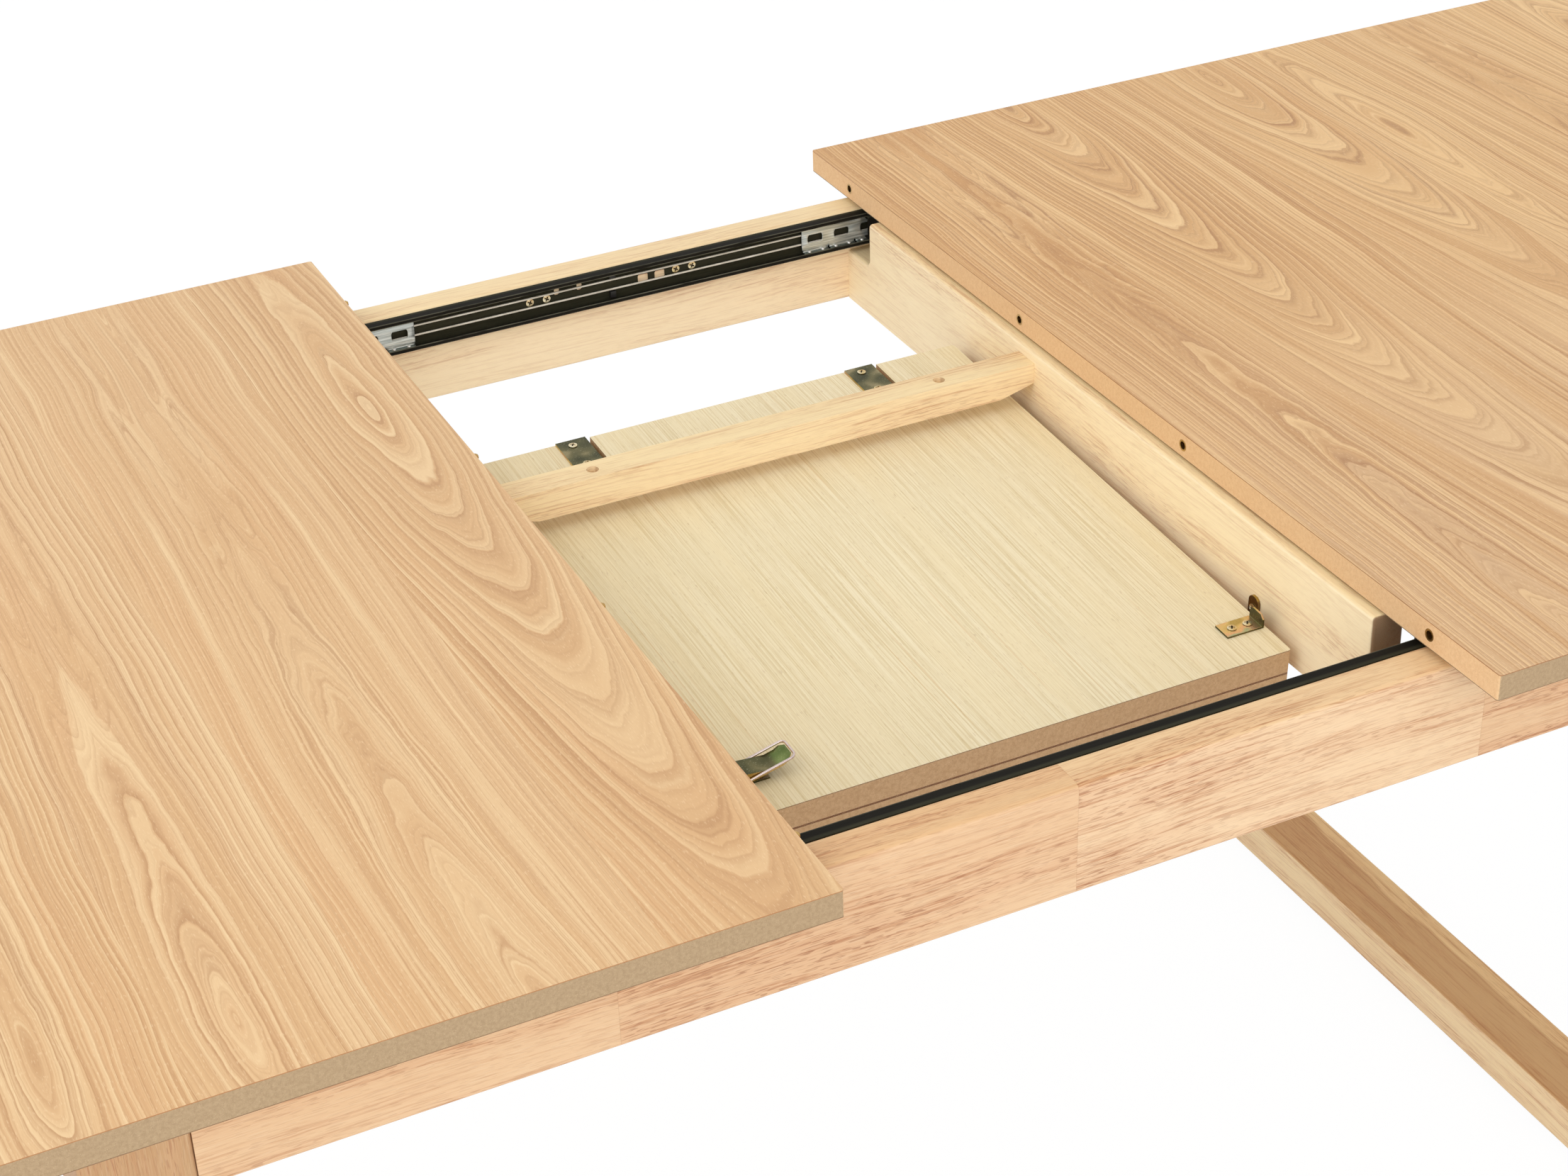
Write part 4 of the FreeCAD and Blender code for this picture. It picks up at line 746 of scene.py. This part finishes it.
def solids(points, cells):
    """A number for each triangle, the same within one solid: labels spread until they settle."""
    label = np.arange(len(points))
    while True:
        lowest = label[cells].min(axis=1)
        spread = label.copy()
        np.minimum.at(spread, cells.ravel(), np.repeat(lowest, 3))
        if (spread == label).all():
            return np.unique(label[cells[:, 0]], return_inverse=True)[1]
        label = spread


print("triangles of rail_front:", len(triangles("rail_front")[1]))

# %% A new piece for a node
def body_of(node):
    return next(body for body, members in frame["record"]["behaviour"]["bodies"].items()
                if node in members)


def slot_of(node):
    return frame["nodes"][node].data.materials[0].name.split(".")[0]


def new_piece(name, node, points, cells, finishes, which=None):
    """Put points and triangles in a mesh, hang the piece on the body that the CAD node rides on,
    and hide the node."""
    mesh = bpy.data.meshes.new(name)
    mesh.from_pydata(points.tolist(), [], cells.tolist())
    for finish in finishes:
        mesh.materials.append(finish)
    if which is not None:
        mesh.polygons.foreach_set("material_index", which.astype(np.int32))
    mesh.update()
    piece = bpy.data.objects.new(name, mesh)
    scene.collection.objects.link(piece)
    body, slot = body_of(node), slot_of(node)
    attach(piece, body)
    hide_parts(node)
    return piece


print("rail_front rides on", body_of("rail_front"), "and its slot is", slot_of("rail_front"))

# %% Round edges, and dress a node
def smooth(piece, angle=32):
    """Smooth shading, with edges that turn by more than this many degrees kept sharp."""
    piece.data.shade_smooth()
    piece.data.set_sharp_from_angle(angle=radians(angle))


def bevel(piece, width):
    """Join flat neighbours, then round every edge that turns by more than 30 degrees."""
    flat = piece.modifiers.new("flat", "DECIMATE")
    flat.decimate_type, flat.angle_limit, flat.delimit = "DISSOLVE", radians(0.5), {"MATERIAL"}
    rounding = piece.modifiers.new("rounding", "BEVEL")
    rounding.width, rounding.segments = width * MM, 2
    rounding.limit_method, rounding.angle_limit = "ANGLE", radians(30)
    rounding.harden_normals = True
    piece.data.shade_smooth()


def dress(node, finish, width=0):
    """The welded copy of a node in one finish, with its edges rounded to a width in mm."""
    piece = new_piece(f"{node}_dressed", node, *triangles(node), [finish])
    if width:
        bevel(piece, width)
    else:
        smooth(piece)


# %% Frame timber
for node, grain, width in [("rail_front", "x", 0.8), ("rail_back", "back", 0.8),
                           ("keeper_bar", "keeper", 1.2)]:
    dress(node, timber[grain], width)
for piece, grain in [("cross_rail", "y"), ("end_rail", "y"), ("floor_rail", "floor"),
                     ("leg_front", "z"), ("leg_back", "z")]:
    for side in ("left", "right"):
        dress(f"{piece}_{side}", timber[grain], 0.8)
dress("frame_dowels", timber["x"])
print("frame timber dressed")

# %% Cores of the boards
for node, core in [("top_core_left", "top"), ("top_core_right", "top"),
                   ("leaf_lower_core", "leaf"), ("leaf_upper_core", "leaf")]:
    dress(node, cores[core], 0.25)
print("cores dressed")

# %% [markdown]
# ## Two veneers on each board
#
# A board's node holds its show veneer and its backing veneer. They are separate solids, so the
# faces can be sorted by solid, and the one that lies furthest out on the show side gets the ash.
# The folded leaf's halves lie back to back, so the upper half's show side looks down.

# %% Veneer sheets
UP, DOWN = np.array([0, 0, 1]), np.array([0, 0, -1])


def dress_veneers(node, show, outward):
    """The solid that lies furthest along outward gets the show face's figure."""
    points, cells = triangles(node)
    solid = solids(points, cells)
    middles = points[cells].mean(axis=1) @ outward
    heights = np.array([middles[solid == number].mean() for number in range(solid.max() + 1)])
    piece = new_piece(f"{node}_dressed", node, points, cells, [backing, show],
                      which=(solid == heights.argmax()))
    bevel(piece, 0.15)


dress_veneers("top_veneers_left", veneers["left"], UP)
dress_veneers("top_veneers_right", veneers["right"], UP)
dress_veneers("leaf_upper_veneers", veneers["leaf"], DOWN)
dress_veneers("leaf_lower_veneers", veneers["leaf"], UP)
print("veneers on four boards")

# %% [markdown]
# ## Slides, latches and small parts
#
# These are pressed, drawn or moulded, and the CAD model has their shape. Each gets its finish,
# and a bevel where a stamped edge catches the light. Round parts need none.

# %% Slides, fittings and small parts
for node, metal, width in [
        ("outer_channels", "channel", 0.35), ("inner_slides_left", "channel", 0.3),
        ("inner_slides_right", "channel", 0.3), ("channel_stops", "moulding", 0.5),
        ("corner_brackets", "channel", 0.4), ("corner_bolts", "zinc", 0.3),
        ("leaf_supports", "brown", 0.3), ("floor_glides", "moulding", 0),
        ("pulleys_left", "moulding", 0), ("pulleys_right", "moulding", 0),
        ("top_pins", "brass", 0), ("top_bushes", "brass", 0), ("top_catches", "gold", 0.25),
        ("top_latch_bases", "brown", 0.2), ("top_latch_lever_front", "olive", 0.25),
        ("top_latch_lever_back", "olive", 0.25), ("top_latch_bail_front", "bright", 0),
        ("top_latch_bail_back", "bright", 0)]:
    dress(node, metals[metal], width)
for half in ("lower", "upper"):
    for part, metal, width in [("hinge_plates", "olive", 0.25), ("pins", "brass", 0),
                               ("catch", "gold", 0.25), ("latch_base", "gold", 0.2),
                               ("latch_lever", "olive", 0.25), ("latch_bail", "bright", 0)]:
        dress(f"leaf_{half}_{part}", metals[metal], width)

# %% [markdown]
# ## Surfaces from two parameters
#
# Many small things are one sheet bent into shape: a grid of rows and columns whose points come
# from a formula. A sheet that closes on itself is a ring, and a row that shrinks to one point is
# a pole; welding closes both.

# %% Grids of triangles
def grid(rows, columns, closed=False):
    """Two triangles for each cell of a grid of points, and one more column when it closes."""
    row, column = np.meshgrid(np.arange(rows - 1), np.arange(columns - (not closed)),
                              indexing="ij")
    after = (column + 1) % columns
    a, b = row * columns + column, row * columns + after
    c, d = a + columns, b + columns
    return np.concatenate([np.stack([a, b, d], -1).reshape(-1, 3),
                           np.stack([a, d, c], -1).reshape(-1, 3)])


def repeat(points, cells, turns, places):
    """One copy of a shape for each 3 x 3 turn and place."""
    many = np.einsum("nij,pj->npi", turns, points) + places[:, None, :]
    shift = np.arange(len(places))[:, None, None] * len(points)
    return many.reshape(-1, 3), (cells[None] + shift).reshape(-1, 3)


def join(parts):
    """Several (points, triangles) as one."""
    shifts = np.cumsum([0] + [len(points) for points, _ in parts[:-1]])
    return (np.concatenate([points for points, _ in parts]),
            np.concatenate([cells + shift for (_, cells), shift in zip(parts, shifts)]))


print("a grid of 3 by 4 points has", len(grid(3, 4)), "triangles")

# %% [markdown]
# ## Screws
#
# A pan-head screw with a cross recess starts as a square sheet that is bent into the domed top.
# The recess lies along the lines of the square, so a few rows draw it sharply. The outline of the
# square then goes down the rim, the underside, the shank and the point. Such a head is pressed
# cold from wire, and the cross is stamped in the same blow.

# %% One screw from a square and its outline
HEAD_RADIUS, HEAD_HEIGHT, DOME, RECESS = 3.2, 1.2, 0.6, 0.8  # mm
CROSS_WIDTH, CROSS_LENGTH = [0.08, 0.20], [0.56, 0.64]  # shares of the radius


def screw_sheet():
    """Square (u, v) from -1 to 1 becomes a disc: x = u sqrt(1 - v^2/2), y = v sqrt(1 - u^2/2).
    Height = 1.2 - 0.6 (r^2)^0.8, less 0.8 in the recess, where |u| or |v| is small. The square's
    outline is then swept down a profile of (radius, height), in mm. Also gives how deep each
    point lies in the recess or under the rim, from 0 to 1, as the amount of painted shade."""
    half = np.array([*CROSS_WIDTH, *CROSS_LENGTH, 0.84, 1.0])
    line = np.concatenate([-half[::-1], half])
    u, v = np.meshgrid(line, line, indexing="ij")
    x, y = u * np.sqrt(1 - v ** 2 / 2), v * np.sqrt(1 - u ** 2 / 2)
    inside = (np.interp(np.minimum(abs(u), abs(v)), CROSS_WIDTH, [1, 0])
              * np.interp(np.maximum(abs(u), abs(v)), CROSS_LENGTH, [1, 0]))
    height = HEAD_HEIGHT - DOME * (x ** 2 + y ** 2) ** 0.8 - RECESS * inside
    top = np.stack([x * HEAD_RADIUS, y * HEAD_RADIUS, height], -1)
    outline = np.concatenate([top[:-1, 0], top[-1, :-1], top[:0:-1, -1], top[0, :0:-1]])
    share = np.array([3.2, 3.2, 1.7, 1.7, 1.3, 0.0])[:, None] / HEAD_RADIUS
    fall = np.array([0.6, 0.05, 0.0, -8.5, -10.0, -12.0])[:, None]
    around = np.stack([outline[:, 0] * share, outline[:, 1] * share, fall + 0 * outline[:, 0]], -1)
    points, cells = join([
        (top.reshape(-1, 3), grid(len(line), len(line))[:, ::-1]),
        (around.reshape(-1, 3), grid(len(share), len(outline), closed=True)[:, ::-1])])
    under = np.repeat([0.0, 1, 1, 1, 1, 1], len(outline))
    deep = np.concatenate([inside.ravel(), under])
    order = np.unique(np.round(points * MM / WELD), axis=0, return_index=True)[1]
    return (*weld(points * MM, cells), deep[order])


screw_points, screw_cells, screw_painted_shade = screw_sheet()
print("one screw:", len(screw_cells), "triangles")

# %% Screws in their places
ASLANT = (0.36, 0.48, 0.80)  # a direction that no screw has


def screw_seats(node):
    """A turn and a place for each solid: its long axis looks towards the end that is wide."""
    points, cells = triangles(node)
    solid = solids(points, cells)
    turns, places = [], []
    for number in range(solid.max() + 1):
        own = points[np.unique(cells[solid == number])]
        middle = own.mean(axis=0)
        axis = np.linalg.svd(own - middle)[2][0]
        reach = (own - middle) @ axis
        spread = np.linalg.norm(own - middle - reach[:, None] * axis, axis=1)
        if reach[spread.argmax()] < 0:
            axis, reach = -axis, -reach
        side = np.cross(axis, ASLANT)
        side /= np.linalg.norm(side)
        turns.append(np.stack([side, np.cross(axis, side), axis], axis=1))
        places.append(middle + axis * (reach.max() - HEAD_HEIGHT * MM))
    return np.array(turns), np.array(places)


for node in ("frame_screws", "top_screws_left", "top_screws_right", "leaf_lower_screws",
             "leaf_upper_screws"):
    seats = screw_seats(node)
    heads = new_piece(f"{node}_pan_heads", node, *repeat(screw_points, screw_cells, *seats),
                      [metals["screw"]])
    # The recess attribute marks where the screw gets painted shade.
    recess = heads.data.attributes.new("recess", "FLOAT", "POINT")
    recess.data.foreach_set("value", np.tile(screw_painted_shade, len(seats[1])))
    smooth(heads)
    print(node, len(seats[1]), "screws")

# %% [markdown]
# ## Stranded cables
#
# The two tops are kept in step by a loop of steel cable in each slide. Such a cable is six
# strands laid round a core, and the lay shows as slanting dots. Its surface is a tube whose
# radius has six bumps, and the bumps turn as one goes along.

# %% Cable loops
RUN_HALF, BEND, LAY, WIRE_RADIUS, CABLE_DEPTH = 545.0, 4.0, 7.2, 0.8, 2.8  # mm
SIDES_OF_WIRE = 12


def cable_loop(side):
    """Path: two straight runs and two half rings. Radius = 0.8 (0.90 + 0.10 |cos(3 a)|) with
    a = angle round the wire + 2 pi x length / lay."""
    run = np.arange(-RUN_HALF, RUN_HALF, 1.0)
    arc = np.arange(0, pi, pi / 10)
    bulge, swing = BEND * np.sin(arc), BEND * np.cos(arc)
    path_x = np.concatenate([run, RUN_HALF + bulge, -run, -RUN_HALF - bulge])
    path_z = np.concatenate([0 * run - BEND, -swing, 0 * run + BEND, swing])
    step_x, step_z = (np.roll(path, -1) - np.roll(path, 1) for path in (path_x, path_z))
    length = np.hypot(step_x, step_z)
    along = np.cumsum(length) / 2
    turn = np.arange(SIDES_OF_WIRE) * 2 * pi / SIDES_OF_WIRE
    lays = np.round(along[-1] / LAY)
    angle = turn[None] + 2 * pi * lays * (along / along[-1])[:, None]
    radius = WIRE_RADIUS * (0.90 + 0.10 * abs(np.cos(3 * angle)))
    out_x, out_z = step_z / length, -step_x / length
    x = path_x[:, None] + out_x[:, None] * np.cos(turn) * radius
    z = path_z[:, None] + out_z[:, None] * np.cos(turn) * radius
    y = side * (RAIL_FACE - CABLE_DEPTH) + np.sin(turn) * radius
    points = np.stack([x, y, z + SLIDE_HEIGHT], -1) * MM
    points = np.concatenate([points, points[:1]])
    return weld(points.reshape(-1, 3), grid(len(points), SIDES_OF_WIRE, closed=True))


cable = new_piece("stranded_cables", "sync_cables", *join([cable_loop(-1), cable_loop(1)]),
                  [metals["cable"]])
smooth(cable, 50)
print("cables:", len(cable.data.polygons), "triangles")

# %% [markdown]
# ## Ball cages
#
# A cage is a strip of zinc-plated steel, stamped and folded into a channel. It has windows to
# save weight, slits that let the folded ledges be cut and bent one by one, and two balls to each
# side of a window. One pitch of the strip is worked out once, and repeated five times.

# %% One pitch of the strip
CAGE_START, CAGE_PITCH, WINDOWS = 165.0, 23.8, 5
COLUMNS = np.array([-11.9, -11.2, -9.0, -6.0, -3.0, 0, 3.0, 6.0, 9.0, 11.2, 11.9])
ENDS = np.array([4.9, 4.3, 3.2, 1.6, 0, -1.6, -3.2, -4.3, -4.9])
WINDOW_HALF, WINDOW_HIGH, WINDOW_BULGE = 5.4, 3.5, 1.2
LEDGE_HALF, RIDGE_END, FOLD_START, FOLD = 11.2, 8.2, 9.5, 1.1
WEB_DEPTH, WING_DEPTH = 4.25, 4.6


def ring(columns, ends, bulge):
    """Round a rectangle clockwise, with ends that bulge out by 1 - (height / half)^4."""
    half, high = columns[-1], ends[0]
    swell = half + bulge * (1 - (ends / high) ** 4)
    x = np.concatenate([columns, swell, columns[::-1], -swell])
    z = np.concatenate([0 * columns + high, ends, 0 * columns - high, ends[::-1]])
    return np.stack([x, z], -1)


def cage_pitch():
    """Web: points between the window's outline and the pitch's rectangle. Wings: rows that step
    over a ridge, go round the fold and out along the ledge, whose last rows draw in to round
    its corners. Each point is (x, depth, height), in mm."""
    outer = ring(COLUMNS, ENDS, 0)
    window = ring(COLUMNS * WINDOW_HALF / COLUMNS[-1], ENDS * WINDOW_HIGH / ENDS[0], WINDOW_BULGE)
    web = np.stack([window + (outer - window) * share for share in (0.0, 0.12, 1.0)])
    depth = np.array([4.45, WEB_DEPTH, WEB_DEPTH])[:, None] + 0 * web[..., 0]
    points = np.stack([web[..., 0], depth, web[..., 1]], -1)
    parts = [(points.reshape(-1, 3), grid(3, len(outer), closed=True))]
    fold = np.arange(0, 91, 22.5)[1:] * pi / 180
    rise = np.concatenate([[4.9, 5.3, 5.7, RIDGE_END, FOLD_START],
                           FOLD_START + FOLD * np.sin(fold), [10.6, 10.6, 10.6, 10.6]])
    depth = np.concatenate([[WEB_DEPTH, 4.35, WING_DEPTH, WING_DEPTH, WING_DEPTH],
                            WING_DEPTH + FOLD * (1 - np.cos(fold)), [6.8, 7.4, 7.75, 7.9]])
    draw = np.concatenate([np.ones(len(rise) - 3), [0.985, 0.945, 0.88]])
    slit = np.clip(COLUMNS, -LEDGE_HALF, LEDGE_HALF)
    x = np.where(rise[:, None] > RIDGE_END, slit, COLUMNS) * draw[:, None]
    for way in (1, -1):
        points = np.stack([x, depth[:, None] + 0 * x, way * rise[:, None] + 0 * x], -1)
        parts.append((points.reshape(-1, 3), grid(len(rise), len(COLUMNS))[:, ::way]))
    return join(parts)


pitch_points, pitch_cells = cage_pitch()
print("one pitch:", len(pitch_cells), "triangles")

# %% Strips and balls
STRIP, BALL_RADIUS, BALL_DEPTH, BALL_RISE, BALL_STEP = 0.45, 1.55, 6.2, 10.7, 6  # mm


def pitch_middles(sign):
    return sign * (CAGE_START + CAGE_PITCH * (np.arange(WINDOWS) + 0.5))


def cage_strips(sign):
    """The pitch once for each window, on the front slide and turned round on the back one."""
    parts = []
    for side in (-1, 1):
        for middle in pitch_middles(sign):
            put = np.stack([pitch_points[:, 0] + middle, side * (RAIL_FACE - pitch_points[:, 1]),
                            pitch_points[:, 2] + SLIDE_HEIGHT], -1) * MM
            parts.append((put, pitch_cells[:, ::side]))
    return weld(*join(parts))


def ball(radius, rings=9, around=14):
    """A globe by latitude and longitude, closed at both poles."""
    up = np.linspace(-pi / 2, pi / 2, rings)[:, None]
    turn = np.arange(around) * 2 * pi / around
    points = radius * np.stack([np.cos(up) * np.cos(turn), np.cos(up) * np.sin(turn),
                                np.sin(up) + 0 * turn], -1)
    return weld(points.reshape(-1, 3) * MM, grid(rings, around, closed=True))


for name, sign in (("left", -1), ("right", 1)):
    node = f"ball_cages_{name}"
    strip = new_piece(f"{node}_strips", node, *cage_strips(sign), [metals["cage"]])
    thick = strip.modifiers.new("thickness", "SOLIDIFY")
    thick.thickness, thick.offset = STRIP * MM, 0
    smooth(strip, 40)
    spots = np.array([(x + step, side * (RAIL_FACE - BALL_DEPTH), SLIDE_HEIGHT + height)
                      for x in pitch_middles(sign) for step in (-BALL_STEP, BALL_STEP)
                      for side in (-1, 1) for height in (-BALL_RISE, BALL_RISE)]) * MM
    upright = np.tile(np.eye(3), (len(spots), 1, 1))
    smooth(new_piece(f"{node}_balls", node, *repeat(*ball(BALL_RADIUS), upright, spots),
                     [metals["ball"]]))
    print(node, len(spots), "balls")

# %% [markdown]
# ## Studio
#
# A white floor and a white surround, with soft light from above and from the camera's side. The
# floor is white to the camera by its own glow, and keeps a share of plain shading so that the
# table still drops a faint shadow.

# %% Floor and surround
FLOOR_HALF, FLOOR_GREY, GLOW, GLOW_SHARE, SURROUND = 12.0, 0.9, 1.02, 0.94, 0.85


def white_to_the_eye(tree):
    """1 for rays from the camera, and for those that metal or glass sends on."""
    path = tree.nodes.new("ShaderNodeLightPath")
    camera_ray, glossy, through = (Wire(tree, path.outputs[label]) for label in (
        "Is Camera Ray", "Is Glossy Ray", "Is Transmission Ray"))
    return camera_ray.math("MAXIMUM", glossy).math("MAXIMUM", through)


floor_mesh = bpy.data.meshes.new("studio_floor")
floor_corners = FLOOR_HALF * np.array([(-1, -1, 0), (1, -1, 0), (1, 1, 0), (-1, 1, 0)])
floor_mesh.from_pydata(floor_corners.tolist(), [], [(0, 1, 2, 3)])
floor = bpy.data.objects.new("studio_floor", floor_mesh)
scene.collection.objects.link(floor)
white = bpy.data.materials.new("studio_white")
white.use_nodes = True
tree = white.node_tree
plain = tree.nodes["Principled BSDF"]
plain.inputs["Base Color"].default_value = (FLOOR_GREY, FLOOR_GREY, FLOOR_GREY, 1)
plain.inputs["Roughness"].default_value = 1.0
glow = add(tree, "Emission", {"Color": (1, 1, 1, 1), "Strength": GLOW})
share = white_to_the_eye(tree) * GLOW_SHARE
mixed = add(tree, "MixShader", {0: share, 1: Wire(tree, plain.outputs[0]), 2: glow})
plug(tree.nodes["Material Output"].inputs["Surface"], mixed)
floor_mesh.materials.append(white)

world = bpy.data.worlds.new("studio_surround")
world.use_nodes = True
scene.world = world
sky = world.node_tree.nodes["Background"]
sky.inputs["Color"].default_value = (1, 1, 1, 1)
plug(sky.inputs["Strength"], white_to_the_eye(world.node_tree) * (1 - SURROUND) + SURROUND)
print("floor:", 2 * FLOOR_HALF, "m square")

# %% Lamps
def soft_lamp(name, stand, aim, size, watts):
    """A square lamp of this size in metres that looks from its stand to its aim."""
    light = bpy.data.lights.new(name, "AREA")
    light.shape, light.size, light.energy = "SQUARE", size, watts
    lamp = bpy.data.objects.new(name, light)
    lamp.location = stand
    lamp.rotation_mode = "QUATERNION"
    lamp.rotation_quaternion = (Vector(aim) - Vector(stand)).to_track_quat("-Z", "Y")
    scene.collection.objects.link(lamp)
    print("lamp:", name, watts, "W")


soft_lamp("key", (-2.6, -0.9, 3.0), (0, 0, 0.7), size=2.2, watts=28)
soft_lamp("fill", (-0.8, -3.4, 2.0), (0, 0, 0.6), size=2.6, watts=26)
scene.view_settings.view_transform = "Standard"
